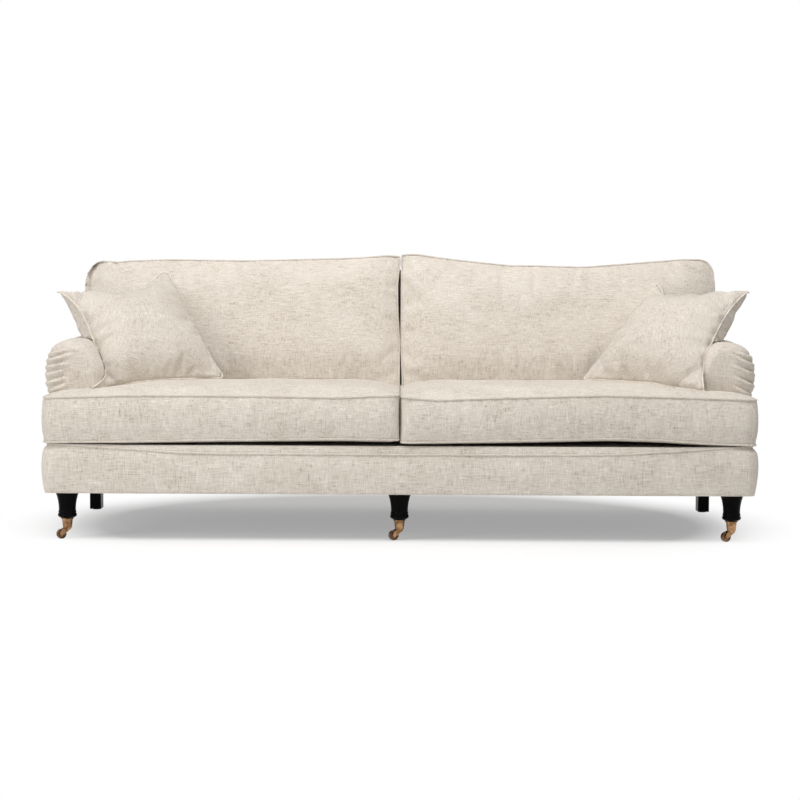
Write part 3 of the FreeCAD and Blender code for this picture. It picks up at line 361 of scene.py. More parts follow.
def drawn_noise(tree, vector, long, short, detail, rough, scale=1.0):
    """Three noises, each drawn out along one axis."""
    return [noise_at(tree, vector, [long if a == b else short for b in range(3)], detail, rough, scale)
            for a in range(3)]


def blended(tree, sources, shares):
    """Half the sum of the sources, each weighed by its share."""
    weighed = [sum_of(tree, "MULTIPLY", source, share) for source, share in zip(sources, shares)]
    total = sum_of(tree, "ADD", sum_of(tree, "ADD", weighed[0], weighed[1]), weighed[2])
    return sum_of(tree, "MULTIPLY", total, 0.5)


LINEN_STOPS = ((0.36, (0.39, 0.335, 0.285)), (0.455, (0.62, 0.56, 0.49)),
               (0.55, (0.70, 0.645, 0.575)), (0.66, (0.84, 0.805, 0.745)))
WEAVE_PITCH = 0.0016


def linen(name, turn=(0.0, 0.0, 0.0), tone=1.0):
    """Oatmeal linen: threads both ways on every face, flecks and a fine weave; turn sets its grain, and tone
    makes lighter or darker copies that stand for painted highlight or painted shade.
    """
    material, tree, shader = node_tree(name)
    place = tree.nodes.new("ShaderNodeTexCoord")
    turned = []
    for output in ("Object", "Normal"):
        mapping = tree.nodes.new("ShaderNodeMapping")
        mapping.inputs["Rotation"].default_value = turn
        tree.links.new(place.outputs[output], mapping.inputs["Vector"])
        turned.append(mapping.outputs["Vector"])
    where, facing = turned
    split = tree.nodes.new("ShaderNodeSeparateXYZ")
    tree.links.new(facing, split.inputs[0])
    # A face shows the threads that run along it, so each axis counts by how far the face turns away from it.
    squares = [sum_of(tree, "MULTIPLY", output, output) for output in split.outputs]
    shares = [sum_of(tree, "SUBTRACT", 1.0, square) for square in squares]
    cross = blended(tree, drawn_noise(tree, where, 26.0, 360.0, 2.5, 0.6), shares)
    fleck = blended(tree, drawn_noise(tree, where, 60.0, 520.0, 1.0, 0.5, 0.6), shares)
    cloud = noise_at(tree, where, (9, 9, 9), 3.0, 0.6)
    mixed = sum_of(tree, "ADD", sum_of(tree, "MULTIPLY", cross, 0.62), sum_of(tree, "MULTIPLY", fleck, 0.38))
    mixed = sum_of(tree, "MULTIPLY_ADD", sum_of(tree, "SUBTRACT", cloud, 0.5), 0.16, mixed)
    stops = [(at, tuple(min(part * tone, 1) for part in colour)) for at, colour in LINEN_STOPS]
    tree.links.new(ramp(tree, mixed, stops), shader.inputs["Base Color"])
    shader.inputs["Roughness"].default_value = 0.92
    shader.inputs["Specular IOR Level"].default_value = 0.08
    shader.inputs["Sheen Weight"].default_value = 0.12
    shader.inputs["Sheen Roughness"].default_value = 0.5
    axes = tree.nodes.new("ShaderNodeSeparateXYZ")
    tree.links.new(where, axes.inputs[0])
    turns = [sum_of(tree, "MULTIPLY", output, 2 * math.pi / WEAVE_PITCH) for output in axes.outputs]
    waves = [sum_of(tree, "SINE", turn_now, None) for turn_now in turns]
    fine = 0.0
    for axis, square in enumerate(squares):
        weave = sum_of(tree, "MULTIPLY", waves[(axis + 1) % 3], waves[(axis + 2) % 3])
        fine = sum_of(tree, "ADD", fine, sum_of(tree, "MULTIPLY", weave, square))
    height = sum_of(tree, "MULTIPLY_ADD", fine, 0.12, sum_of(tree, "MULTIPLY", mixed, 1.6))
    bump(tree, shader, height, 0.5, 0.0012)
    return material


def lacquer():
    """Black satin lacquer over wood: a faint grain, and a roughness that varies in patches."""
    material, tree, shader = node_tree("black_lacquer_look")
    where = tree.nodes.new("ShaderNodeTexCoord").outputs["Object"]
    grain = noise_at(tree, where, (220, 220, 14), 4.0, 0.6)
    tree.links.new(ramp(tree, grain, [(0.3, (0.0015, 0.0014, 0.0013)), (0.7, (0.0045, 0.0042, 0.004))]),
                   shader.inputs["Base Color"])
    patches = noise_at(tree, where, (30, 30, 30), 2.0, 0.5)
    tree.links.new(sum_of(tree, "MULTIPLY_ADD", patches, 0.18, 0.2), shader.inputs["Roughness"])
    shader.inputs["Specular IOR Level"].default_value = 0.03
    shader.inputs["Coat Weight"].default_value = 0.01
    shader.inputs["Coat Roughness"].default_value = 0.2
    bump(tree, shader, grain, 0.12, 0.0004)
    return material


def metal(name, dark, light, patch, rough):
    """Aged metal: mottled colour and roughness, with fine scratches."""
    material, tree, shader = node_tree(name)
    where = tree.nodes.new("ShaderNodeTexCoord").outputs["Object"]
    mottle = noise_at(tree, where, (patch, patch, patch), 4.0, 0.65)
    tree.links.new(ramp(tree, mottle, [(0.38, dark), (0.62, light)]), shader.inputs["Base Color"])
    shader.inputs["Metallic"].default_value = 1.0
    tree.links.new(sum_of(tree, "MULTIPLY_ADD", mottle, 0.3, rough), shader.inputs["Roughness"])
    scratches = noise_at(tree, where, (900, 900, 120), 2.0, 0.5)
    bump(tree, shader, scratches, 0.08, 0.0003)
    return material


def plain(name, dark, light, scales, rough, relief=0.25):
    """A matt material that varies between two colours along its own grain."""
    material, tree, shader = node_tree(name)
    where = tree.nodes.new("ShaderNodeTexCoord").outputs["Object"]
    grain = noise_at(tree, where, scales, 4.0, 0.6)
    tree.links.new(ramp(tree, grain, [(0.35, dark), (0.65, light)]), shader.inputs["Base Color"])
    shader.inputs["Roughness"].default_value = rough
    bump(tree, shader, grain, relief, 0.0008)
    return material


LINEN = linen("linen_cover_look")
# The welts use the cover's linen made 7% darker: painted shade for the dark line along the seams.
WELT = linen("linen_welt_painted_shade_look", tone=0.93)
# The scatter cushions' piping uses the cover's linen made 14% lighter: a painted highlight along the cord.
PIPING = linen("linen_piping_painted_highlight_look", tone=1.14)
BLACK = lacquer()
BRASS = metal("antique_brass_look", (0.16, 0.085, 0.04), (0.46, 0.27, 0.14), 45, 0.06)
BRONZE = metal("bronze_wheel_look", (0.07, 0.04, 0.025), (0.22, 0.13, 0.075), 60, 0.12)
STEEL = metal("spring_steel_look", (0.10, 0.10, 0.105), (0.36, 0.36, 0.37), 90, 0.3)
NYLON = plain("black_nylon_look", (0.012, 0.012, 0.013), (0.03, 0.03, 0.031), (400, 400, 400), 0.55)
TIMBER = {}
for axis, scales in (("x", (3, 90, 90)), ("y", (90, 3, 90)), ("z", (90, 90, 3))):
    TIMBER[axis] = plain(f"frame_timber_{axis}_look", (0.42, 0.27, 0.14), (0.66, 0.48, 0.29), scales, 0.7)
FELT = plain("felt_pad_look", (0.36, 0.33, 0.29), (0.55, 0.52, 0.47), (240, 240, 60), 0.95, 0.5)
WEBBING = plain("webbing_look", (0.30, 0.235, 0.15), (0.52, 0.43, 0.30), (600, 40, 600), 0.9, 0.6)
UNDERCLOTH = plain("dust_cloth_look", (0.012, 0.012, 0.012), (0.035, 0.035, 0.035), (700, 700, 700), 0.95,
                   0.4)


def dress(material, *names):
    """Give CAD nodes that stay their own finish."""
    for name in names:
        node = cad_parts[name]
        node.data.materials.clear()
        node.data.materials.append(material)


def soft_piece(name, points, faces, stands_for, fill, body="root", material=LINEN, slot="linen_cover"):
    """A padded piece that takes the place of its CAD nodes."""
    thing = made(name, points, faces, material, body, slot)
    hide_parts(*stands_for)
    return thing


# Forms that the padded pieces share.
def along(table, places):
    """Smooth heights from a short table of places and heights."""
    knots, heights = np.array(table).T
    fine = np.linspace(knots[0], knots[-1], 120)
    rough = np.interp(fine, knots, heights)
    window = np.hanning(11)
    longer = np.concatenate([np.full(5, rough[0]), rough, np.full(5, rough[-1])])
    return np.interp(places, fine, np.convolve(longer, window / window.sum(), "valid"))


def rounded_corners(points, corners, radius):
    """Plan corners drawn in to a radius; each corner is its place and which way it points."""
    out = points.copy()
    for corner, way in corners:
        centre = np.array(corner) - np.array(way) * radius
        off = (out[:, :2] - centre) * way
        near = (off > 0).all(1)
        shrink = off[near].max(1) / np.linalg.norm(off[near], axis=1)
        out[near, :2] = centre + off[near] * shrink[:, None] * way
    return out


def to_segments(flat, segments):
    """Each point's distance to the nearest of several lines."""
    best = np.full(len(flat), np.inf)
    for start, end in segments:
        start, end = np.array(start), np.array(end)
        line = end - start
        share = np.clip(((flat - start) @ line) / (line @ line), 0, 1)
        best = np.minimum(best, np.linalg.norm(flat - start - share[:, None] * line, axis=1))
    return best


def from_edges(points, *axes):
    """Each point's distance to the nearest end of the points' own box, along the given axes."""
    reaches = []
    for axis in axes:
        places = points[:, axis]
        reaches.append(places - places.min())
        reaches.append(places.max() - places)
    return np.min(reaches, axis=0)


def ring(corners):
    """The sides of an outline."""
    return list(zip(corners, corners[1:] + corners[:1]))


def full(distance, reach, power=2.3):
    """How full a cushion is at some distance from its seam, from 0 to 1."""
    return 1 - (1 - np.clip(distance / reach, 0, 1)) ** power


def creased(flat, table):
    """How far creases push points out; each is deepest near its first end and fades toward its second."""
    push = np.zeros(len(flat))
    for start, end, depth, width in table:
        start, end = np.array(start), np.array(end)
        reach = np.linalg.norm(end - start)
        way = (end - start) / reach
        off = flat - start
        far = off @ way / reach
        beside = off @ np.array([-way[1], way[0]])
        fade = np.sin(math.pi * np.clip(far, 0, 1) ** 0.6)
        shoulder = 0.8 * np.exp(-((beside - 2.4 * width) / (1.8 * width)) ** 2)
        push += depth * fade * (shoulder - np.exp(-((beside / width) ** 2)))
    return push


def on_side(points, faces, sign):
    """Quads made for the right, moved to the side of the sign; they still face outward."""
    return points * [sign, 1, 1], faces if sign > 0 else faces[:, ::-1]


def kept_aside(seam, radius):
    """A seam whose piping of this radius stays on its own side of the sofa's middle."""
    return np.stack([np.maximum(seam[:, 0], radius + 0.0006), seam[:, 1], seam[:, 2]], 1)


def box_cushion(kind, side, sign, points, faces, seams, pins, fill, welt, slack, cap):
    """A loose cushion on its own body, queued for the cloth simulation, with piping along its seams."""
    lines_of_piping = [kept_aside(points[seam], welt) * [sign, 1, 1] for seam in seams]
    points, faces = on_side(points, faces, sign)
    name = f"{kind}_cushion_{side}"
    stands_for = [f"{kind}_cushion_{part}_{side}" for part in ("cover", "core")]
    cushion = soft_piece(name, points, faces, stands_for, fill, name)
    to_inflate(cushion, pins, 2.5, slack, cap)
    piping(f"{kind}_welts_{side}", lines_of_piping, welt, WELT, name, "linen_cover")
    return cushion


# Heights of the seat cushions' seams in the photograph: distance from the middle, and height.
TOP_SEAM = {
    "left": ((0.0, 0.4735), (0.07, 0.4735), (0.19, 0.4665), (0.58, 0.471), (0.90, 0.470), (1.15, 0.462)),
    "right": ((0.0, 0.4705), (0.12, 0.4595), (0.36, 0.469), (0.67, 0.477), (0.97, 0.470), (1.15, 0.4645)),
}
LOW_SEAM = {
    "left": ((0.0, 0.331), (0.19, 0.334), (0.58, 0.329), (0.90, 0.322), (1.15, 0.319)),
    "right": ((0.0, 0.323), (0.36, 0.330), (0.67, 0.339), (0.83, 0.335), (1.0, 0.324), (1.15, 0.319)),
}


def seat_cushion(side, sign):
    """A box cushion with an ear in front of the arm, a crowned top and a bellied border."""
    outer = BASE_HALF
    ear_x, ear_y = ARM_INNER - EAR_GAP, ARM_FRONT - EAR_GAP
    front, rear = SEAT_FRONT, SEAT_REAR
    levels = np.linspace(0, 1, 14)
    points, grid, faces = lattice(lines(INNER, outer, CELL, ear_x), lines(front, rear, CELL, ear_y), levels,
                                  lambda x, y, z: (x < ear_x) | (y < ear_y))
    outline = [(INNER, front), (outer, front), (outer, ear_y), (ear_x, ear_y), (ear_x, rear), (INNER, rear)]
    x, y, level = points.T.copy()
    distance = to_segments(points[:, :2], ring(outline))
    edge = distance < ON_EDGE
    on_top = grid[:, 2] == len(levels) - 1
    on_foot = grid[:, 2] == 0
    inner_face = edge & (x < INNER + ON_EDGE)

    # Heights: wavering seams in front, level ones at the rear, a crown that stays below the back cushion,
    # and a foot that sags to the deck.
    toward_rear = np.clip((y - front) / 0.5, 0, 1)
    low = along(LOW_SEAM[side], x)
    low += (LOW_WELT - low) * toward_rear
    top = along(TOP_SEAM[side], x)
    top += (TOP_WELT - top) * toward_rear
    height = low + (top - low) * level
    crown = 0.027 * full(distance, 0.20) * (1 - 0.35 * np.clip(y / 0.25, 0, 1))
    crown *= 1 - 0.25 * np.clip((x - 0.9) / 0.25, 0, 1)
    height = np.where(on_top, height + crown, height)
    under_back = np.clip((y - (FACE_FOOT - 0.10)) / 0.10, 0, 1)
    limit = BACK_FOOT - 0.0012
    height = np.where(on_top & (height > limit), height + (limit - height) * under_back, height)
    sag = np.minimum(0.0105, height - DECK - 0.0006) * full(distance, 0.06)
    points[:, 2] = np.where(on_foot, height - sag, height)

    # Sides: round front corners, a front drawn in between its ends, and a belly all round.
    points = rounded_corners(points, [((outer, front), (1, -1)), ((INNER, front), (-1, -1))], 0.03)
    belly = np.sin(math.pi * level) * 0.006
    draw = 0.006 * (1 - ((x - (INNER + outer) / 2) / (outer - INNER) * 2) ** 2)
    points[:, 1] += np.where(edge & (y < front + ON_EDGE), draw - belly, 0)
    points[:, 0] += np.where(edge & (x > outer - ON_EDGE), belly, 0)
    points[:, 0] += np.where(inner_face, 0.0012 * np.sin(math.pi * level) - 0.0009, 0)
    points = relaxed(points, faces, np.where(on_top & ~edge, 1.0, 0.0), 12)

    held = on_foot | inner_face | (on_top & (edge | (y > FACE_FOOT - 0.02)))
    held |= edge & (x > ear_x - ON_EDGE) & (y > ear_y - ON_EDGE)
    pins = held.astype(float)
    ripple = wobble(points, 0.23, 11 if sign > 0 else 12) * 0.0022 * (1 - pins)
    pucker = wobble(points, 0.034, 13) * 0.0011 * np.exp(-((distance / 0.03) ** 2)) * (1 - pins) * on_top
    points = points + normals_of(points, faces) * (ripple + pucker)[:, None]
    seams = [ordered_loop(points, np.flatnonzero(edge & end), faces) for end in (on_top, on_foot)]
    return box_cushion("seat", side, sign, points, faces, seams, pins, 0.85, SEAT_WELT, 0.012, 0.005)


# The back cushions' top line in the photograph: distance from the middle, and height.
BACK_SEAM = {
    "left": ((0.0, 0.9195), (0.04, 0.924), (0.10, 0.918), (0.206, 0.912), (0.547, 0.9025), (0.816, 0.905),
             (0.97, 0.8995), (1.005, 0.893), (1.035, 0.8985), (1.11, 0.8985)),
    "right": ((0.0, 0.924), (0.04, 0.9305), (0.145, 0.915), (0.252, 0.903), (0.383, 0.8895), (0.472, 0.8895),
              (0.646, 0.885), (0.745, 0.893), (0.926, 0.908), (1.0, 0.914), (1.11, 0.914)),
}
# The gap between the two back cushions wanders: height, and how far it lies to the right of the middle.
# Only the cushion on that side gives way.
GAP = ((0.487, 0.006), (0.56, 0.003), (0.63, -0.001), (0.72, -0.007), (0.82, -0.009), (0.88, -0.003),
       (0.93, 0.003))
# Creases in the back cushions' faces: start, end, depth and width.
BACK_FOLDS = {
    "left": (((1.004, 0.905), (1.022, 0.845), 0.008, 0.009), ((0.004, 0.812), (0.075, 0.818), 0.005, 0.008),
             ((0.004, 0.780), (0.065, 0.772), 0.005, 0.008), ((0.004, 0.690), (0.060, 0.700), 0.004, 0.009),
             ((0.004, 0.600), (0.055, 0.585), 0.003, 0.009), ((1.10, 0.80), (1.06, 0.83), 0.004, 0.009)),
    "right": (((0.012, 0.885), (0.145, 0.765), 0.006, 0.012), ((0.003, 0.845), (0.085, 0.735), 0.004, 0.010),
              ((0.72, 0.885), (0.70, 0.835), 0.003, 0.011), ((0.64, 0.880), (0.60, 0.850), 0.0025, 0.011),
              ((1.09, 0.77), (0.93, 0.80), 0.004, 0.012), ((0.02, 0.505), (0.12, 0.520), 0.003, 0.010)),
}
# How far each back cushion's ear turns back.
EAR_TURN = {"left": 0.045, "right": 0.012}


def back_cushion(side, sign):
    """A leaning box cushion with an ear over the arm, a wandering top line and creases."""
    outer = back_high.x
    ear_x, ear_z = ARM_INNER - EAR_GAP, ARM_TOP + EAR_GAP
    low, top = BACK_FOOT, BACK_TOP
    depths = np.linspace(0, 1, 12)
    points, grid, faces = lattice(lines(INNER, outer, CELL, ear_x), depths, lines(low, top, CELL, ear_z),
                                  lambda x, y, z: (x < ear_x) | (z > ear_z))
    outline = [(INNER, low), (ear_x, low), (ear_x, ear_z), (outer, ear_z), (outer, top), (INNER, top)]
    x, depth, z = points.T.copy()
    distance = to_segments(points[:, [0, 2]], ring(outline))
    edge = distance < ON_EDGE
    top_edge = edge & (z > top - ON_EDGE)
    on_face = grid[:, 1] == 0
    on_rear = grid[:, 1] == len(depths) - 1

    # Heights: the top line, and a foot that hangs lower where the two cushions meet.
    rise = (z - low) / (top - low)
    height = z + (along(BACK_SEAM[side], x) - top) * np.clip(rise, 0, 1) ** 2
    height -= 0.026 * np.exp(-((x - INNER) / 0.10) ** 2) * (1 - rise) ** 3

    # Depths: a crowned face with its ear turned back, and a rear that lies on the padded back.
    face_y = FACE_FOOT + (FACE_TOP - FACE_FOOT) * rise
    face_y = face_y - 0.024 * full(distance, 0.17) * on_face
    face_y = face_y + EAR_TURN[side] * np.clip((x - 1.0) / 0.11, 0, 1) * on_face
    rear_y = PAD_FOOT + (height - DECK) * BACK_LEAN - 0.0015
    points[:, 1] = face_y + (rear_y - face_y) * depth
    points[:, 2] = height

    # Sides: a round outer top corner, slightly full borders, and the gap between the cushions.
    radius = 0.052
    corner = np.array([outer - radius, top - radius])
    off = np.stack([x, z], 1) - corner
    near = (off > 0).all(1)
    shrink = off[near].max(1) / np.linalg.norm(off[near], axis=1)
    points[near, 0] = corner[0] + off[near, 0] * shrink
    points[near, 2] -= off[near, 1] * (1 - shrink)
    bulge = np.sin(math.pi * depth)
    points[:, 2] += np.where(top_edge, 0.001 * bulge - 0.012 * depth, 0)
    points[:, 0] += np.where(edge & (x > outer - ON_EDGE), 0.004 * bulge, 0)
    wander = np.maximum(np.interp(points[:, 2], *np.array(GAP).T) * sign, 0)
    points[:, 0] += (wander + 0.001) * np.exp(-((x - INNER) / 0.09) ** 2)
    points = relaxed(points, faces, np.where(on_face & ~edge, 1.0, 0.0), 12)

    held = on_rear | (edge & (on_face | (z < low + ON_EDGE) | (x < INNER + ON_EDGE)))
    held |= edge & (x > ear_x - ON_EDGE) & (z < ear_z + ON_EDGE)
    pins = np.where(held, 1.0, np.where(top_edge, 0.9, 0.0))
    normals = normals_of(points, faces)
    ripple = wobble(points, 0.26, 21 if sign > 0 else 22) * 0.003
    pucker = wobble(points, 0.036, 23) * 0.0013 * np.exp(-((distance / 0.035) ** 2)) * on_face
    folds = creased(points[:, [0, 2]], BACK_FOLDS[side]) * on_face
    points = points + normals * ((ripple + pucker + folds) * (1 - pins))[:, None]
    seams = [ordered_loop(points, np.flatnonzero(edge & end), faces) for end in (on_face, on_rear)]
    return box_cushion("back", side, sign, points, faces, seams, pins, 0.7, BACK_WELT, 0.02, 0.012)


# The arms' section, from the inner foot over the roll to the outer foot: distance from the middle, height.
ARM_LINE = (
    (0.986, 0.311), (0.986, 0.40), (0.986, 0.50), (0.9885, 0.545), (1.0, 0.574), (1.016, 0.604),
    (1.034, 0.6255), (1.056, 0.637), (1.087, 0.6405), (1.119, 0.6375), (1.146, 0.6255), (1.1645, 0.607),
    (1.1755, 0.583), (1.1815, 0.555), (1.183, 0.525), (1.181, 0.495), (1.174, 0.470), (1.161, 0.452),
    (1.1475, 0.438), (1.1475, 0.38), (1.1475, 0.311),
)
ARM_FOOT = 0.311
ARM_HEART = (1.083, 0.49)
ARM_DOME = 0.055
# Pleats at the outer side of each arm's front: where each starts on the outline, where it ends, its depth.
PLEATS = {
    "left": (((1.174, 0.598), (1.085, 0.622), 0.0060), ((1.182, 0.577), (1.080, 0.604), 0.0085),
             ((1.185, 0.556), (1.085, 0.574), 0.0075), ((1.186, 0.533), (1.110, 0.546), 0.0060),
             ((1.185, 0.503), (1.105, 0.522), 0.0085), ((1.180, 0.476), (1.105, 0.500), 0.0060)),
    "right": (((1.176, 0.598), (1.095, 0.624), 0.0060), ((1.183, 0.572), (1.092, 0.610), 0.0085),
              ((1.186, 0.540), (1.092, 0.578), 0.0085), ((1.185, 0.502), (1.098, 0.540), 0.0085),
              ((1.180, 0.470), (1.100, 0.505), 0.0065)),
}
PLEAT_WIDTH = 0.004


def smooth_line(knots, number):
    """Points evenly spread along a smooth curve through the knots."""
    knots = np.array(knots, float)
    longer = np.concatenate([[2 * knots[0] - knots[1]], knots, [2 * knots[-1] - knots[-2]]])
    fine = []
    for a, b, c, d in zip(longer, longer[1:], longer[2:], longer[3:]):
        for t in np.linspace(0, 1, 24, endpoint=False):
            fine.append(0.5 * (2 * b + (c - a) * t + (2 * a - 5 * b + 4 * c - d) * t ** 2
                               + (3 * b - a - 3 * c + d) * t ** 3))
    fine.append(knots[-1])
    fine = np.array(fine)
    far = np.concatenate([[0], np.cumsum(np.linalg.norm(np.diff(fine, axis=0), axis=1))])
    even = np.linspace(0, far[-1], number)
    return np.stack([np.interp(even, far, fine[:, axis]) for axis in range(fine.shape[1])], 1)


def arm(side, sign):
    """A rolled arm: its section swept from the back to a domed front, with pleats at the outer side."""
    inner_foot, outer_foot = ARM_LINE[0][0], ARM_LINE[-1][0]
    foot = np.stack([np.linspace(outer_foot, inner_foot, 22)[1:-1], np.full(20, ARM_FOOT)], 1)
    section = np.concatenate([smooth_line(ARM_LINE, 190), foot])
    heart = np.array(ARM_HEART)
    outward = section - heart
    outward /= np.linalg.norm(outward, axis=1)[:, None]

    # Rows from the rear to the front, and how far each is drawn in; the rear leans with the back.
    rear, even_from = PAD_FOOT + 0.025, -0.10
    run = np.concatenate([np.linspace(rear, even_from, 26)[:-1],
                          np.linspace(even_from, ARM_FRONT + ARM_DOME, 20)])
    rows = [(y, 0.0) for y in run]
    for angle in np.linspace(0, math.pi / 2, 19)[1:]:
        rows.append((ARM_FRONT + ARM_DOME * (1 - math.sin(angle)), 0.040 * (1 - math.cos(angle))))
    rings = []
    for y, draw in rows:
        x, z = (section - outward * draw).T
        z = np.maximum(z, ARM_FOOT)
        share = min(max((y - 0.1) / (rear - 0.1), 0), 1)
        rings.append(np.stack([x, y + (z - DECK) * BACK_LEAN * share, z], 1))

    # The front face: smaller and smaller rings, slightly swelled, and a point in the middle.
    last = rings[-1]
    middle = np.array([heart[0], 0, heart[1]])
    swell = 0.004
    for shrink in np.linspace(1, 0, 24)[1:-1]:
        smaller = middle + (last - middle) * [shrink, 1, shrink]
        smaller[:, 1] = last[:, 1] - swell * (1 - shrink ** 2)
        rings.append(smaller)
    number = len(section)
    tip = number * len(rings)
    points = np.concatenate(rings + [[[heart[0], ARM_FRONT - swell, heart[1]]]])
    place = np.arange(number)
    after = (place + 1) % number
    quads = [np.stack([row + place, row + number + place, row + number + after, row + after], 1)
             for row in range(0, tip - number, number)]
    tips = np.full(number, tip)
    quads.append(np.stack([tip - number + place, tips, tips, tip - number + after], 1))
    quads = np.concatenate(quads)

    pleats = [(*pleat, PLEAT_WIDTH) for pleat in PLEATS[side]]
    push = creased(points[:, [0, 2]], pleats) * np.clip((-0.16 - points[:, 1]) / 0.07, 0, 1)
    push += wobble(points, 0.16, 31 if sign > 0 else 32) * 0.002
    points = points + normals_of(points, quads) * push[:, None]
    points[:, 2] = np.maximum(points[:, 2], ARM_FOOT + 0.0005)
    faces = [[a, b, c, d] if b != c else [a, b, d] for a, b, c, d in quads.tolist()]
    faces.append(list(range(number)))
    if sign < 0:
        faces = [face[::-1] for face in faces]
    stands_for = ["arm_cover_" + side, "arm_stuffing_" + side]
    return soft_piece("arm_" + side, points * [sign, 1, 1], faces, stands_for, 0.8)


# The border's piped line: distance along the border from the middle of the front, and height.
BORDER_SEAM = ((0.0, 0.2835), (0.60, 0.2845), (0.72, 0.2875), (0.80, 0.293), (0.90, 0.2985), (0.97, 0.304),
               (1.03, 0.309), (1.10, 0.3115), (1.15, 0.3115))
BORDER_CREASES = (
    ((-0.56, 0.263), (-0.665, 0.238), 0.0028, 0.006), ((0.50, 0.262), (0.61, 0.240), 0.0018, 0.007),
    ((-0.92, 0.235), (-1.03, 0.20), 0.0014, 0.008), ((1.03, 0.243), (0.92, 0.272), 0.0016, 0.008),
)
BORDER_CORNER = 0.028
BORDER_FRONT = BASE_HALF - BORDER_CORNER
BORDER_TURN = BORDER_CORNER * math.pi / 2


def border_points(run, up, out):
    """Places on the border's face: run goes along it from the middle of the front round the corner."""
    far = np.abs(run)
    angle = np.clip((far - BORDER_FRONT) / BORDER_TURN, 0, 1) * (math.pi / 2)
    bulge = BORDER_CORNER + out
    x = np.minimum(far, BORDER_FRONT) + np.sin(angle) * bulge
    past_corner = np.maximum(far - BORDER_FRONT - BORDER_TURN, 0)
    y = border_low.y + BORDER_CORNER - np.cos(angle) * bulge + past_corner
    return np.stack([x * np.sign(run), y, up], 1)


def front_border():
    """The border: a full lower part, a piped line that dips in the middle, and a flatter band above it."""
    half_run = BORDER_FRONT + BORDER_TURN + (side_low.y - (border_low.y + BORDER_CORNER))
    low_rows, band_rows = 16, 5
    levels = np.arange(low_rows + band_rows + 1)
    points, grid, faces = lattice(lines(-half_run, half_run, 0.014, 0.0), np.array([0.0, 1.0]),
                                  levels.astype(float))
    run = points[:, 0]
    level = points[:, 2]
    far = np.abs(run)
    seam = np.interp(far, *np.array(BORDER_SEAM).T)
    low_share = np.clip(level / low_rows, 0, 1)
    high_share = np.clip((level - low_rows) / band_rows, 0, 1)
    top = DECK + 0.0035 * np.clip((far - 0.9) / 0.15, 0, 1)
    up = BASE_LOW + (seam - BASE_LOW) * low_share + (np.maximum(top, seam + 0.0005) - seam) * high_share

    # How far the face stands out: swelled, with a sewn groove in the middle, ripples and creases, and
    # shoulders that fall away at the upper ends.
    shoulder = np.clip((far - 1.05) / 0.08, 0, 1) * np.clip((up - DECK + 0.026) / 0.026, 0, 1) ** 2
    swell = 0.0055 + 0.005 * np.clip((far - 1.0) / 0.15, 0, 1)
    swelled = swell * np.sin(math.pi * low_share ** 1.2) ** 0.7 + 0.0015 * np.sin(math.pi * high_share)
    swelled = swelled - 0.004 * high_share
    groove = 0.006 * np.exp(-((run - 0.006) / 0.004) ** 2) * (low_share > 0)
    field = np.stack([run, np.zeros_like(run), up], 1)
    ripple = wobble(field, 0.31, 41) * 0.0018 * np.sin(math.pi * np.clip(level / levels[-1], 0, 1))
    out = swelled - groove + ripple + creased(field[:, [0, 2]], BORDER_CREASES) - 0.013 * shoulder
    outside = grid[:, 1] == 0
    wall = 0.011
    points = np.where(outside[:, None], border_points(run, up, out), border_points(run, up, -wall))
    soft_piece("front_border", points, faces, ["front_border"], 0.7)
    welt_runs = np.linspace(-half_run + 0.002, half_run - 0.002, 260)
    welt_up = np.interp(np.abs(welt_runs), *np.array(BORDER_SEAM).T)
    drawn_in = 0.012 * np.clip((np.abs(welt_runs) - 1.05) / 0.08, 0, 1)
    piping("border_welt", [border_points(welt_runs, welt_up, 0.001 - drawn_in)], 0.0034, WELT, "root",
           "linen_cover", closed=False)


def outside_arm_panel(side, sign):
    """The panel below the arm: flat inside and slightly puffed outside."""
    points, grid, faces = lattice(np.array([side_low.x + 0.0004, side_high.x]),
                                  lines(side_low.y + 0.0008, side_high.y - 0.008, 0.02),
                                  lines(side_low.z, side_high.z - 0.002, 0.02))
    puff = 0.005 * full(from_edges(points, 1, 2), 0.05) + wobble(points, 0.2, 51) * 0.0012
    points[:, 0] += np.where(grid[:, 0] == 1, puff, 0)
    name = "outside_arm_panel_" + side
    soft_piece(name, *on_side(points, faces, sign), [name], 0.6)


def back_hull():
    """The stuffed back: inside face, top and both sides, in one soft-edged form."""
    half = hull_high.x
    low, top = hull_low.z, hull_high.z
    radius = 0.022
    points, _, faces = lattice(lines(-half, half, 0.02), np.linspace(0, 1, 10), lines(low, top, 0.02))
    z = points[:, 2]
    face_y = PAD_FOOT + (z - DECK) * BACK_LEAN
    face_y = np.where(z < DECK + 0.0005, np.maximum(face_y, PAD_FOOT), face_y)
    rear_y = panel_low.y + (z - OUTSIDE_FOOT) * OUTSIDE_LEAN - 0.0006
    rear_y = np.where(z > 0.855, rear_y + 0.012, rear_y)
    points[:, 1] = face_y + (rear_y - face_y) * points[:, 1]
    inner = np.stack([
        np.clip(points[:, 0], -half + radius, half - radius),
        np.clip(points[:, 1], face_y + radius, np.maximum(rear_y - radius, face_y + radius)),
        np.minimum(points[:, 2], top - radius),
    ], 1)
    off = points - inner
    length = np.linalg.norm(off, axis=1)
    share = np.where(length > 1e-9, np.abs(off).max(1) / np.maximum(length, 1e-9), 1)
    points = inner + off * share[:, None]
    points = points + normals_of(points, faces) * (wobble(points, 0.25, 61) * 0.0015 + 0.002)[:, None]
    points[:, 2] = np.maximum(points[:, 2], low)
    soft_piece("back_hull", points, faces, ["back_upholstery"], 0.7)


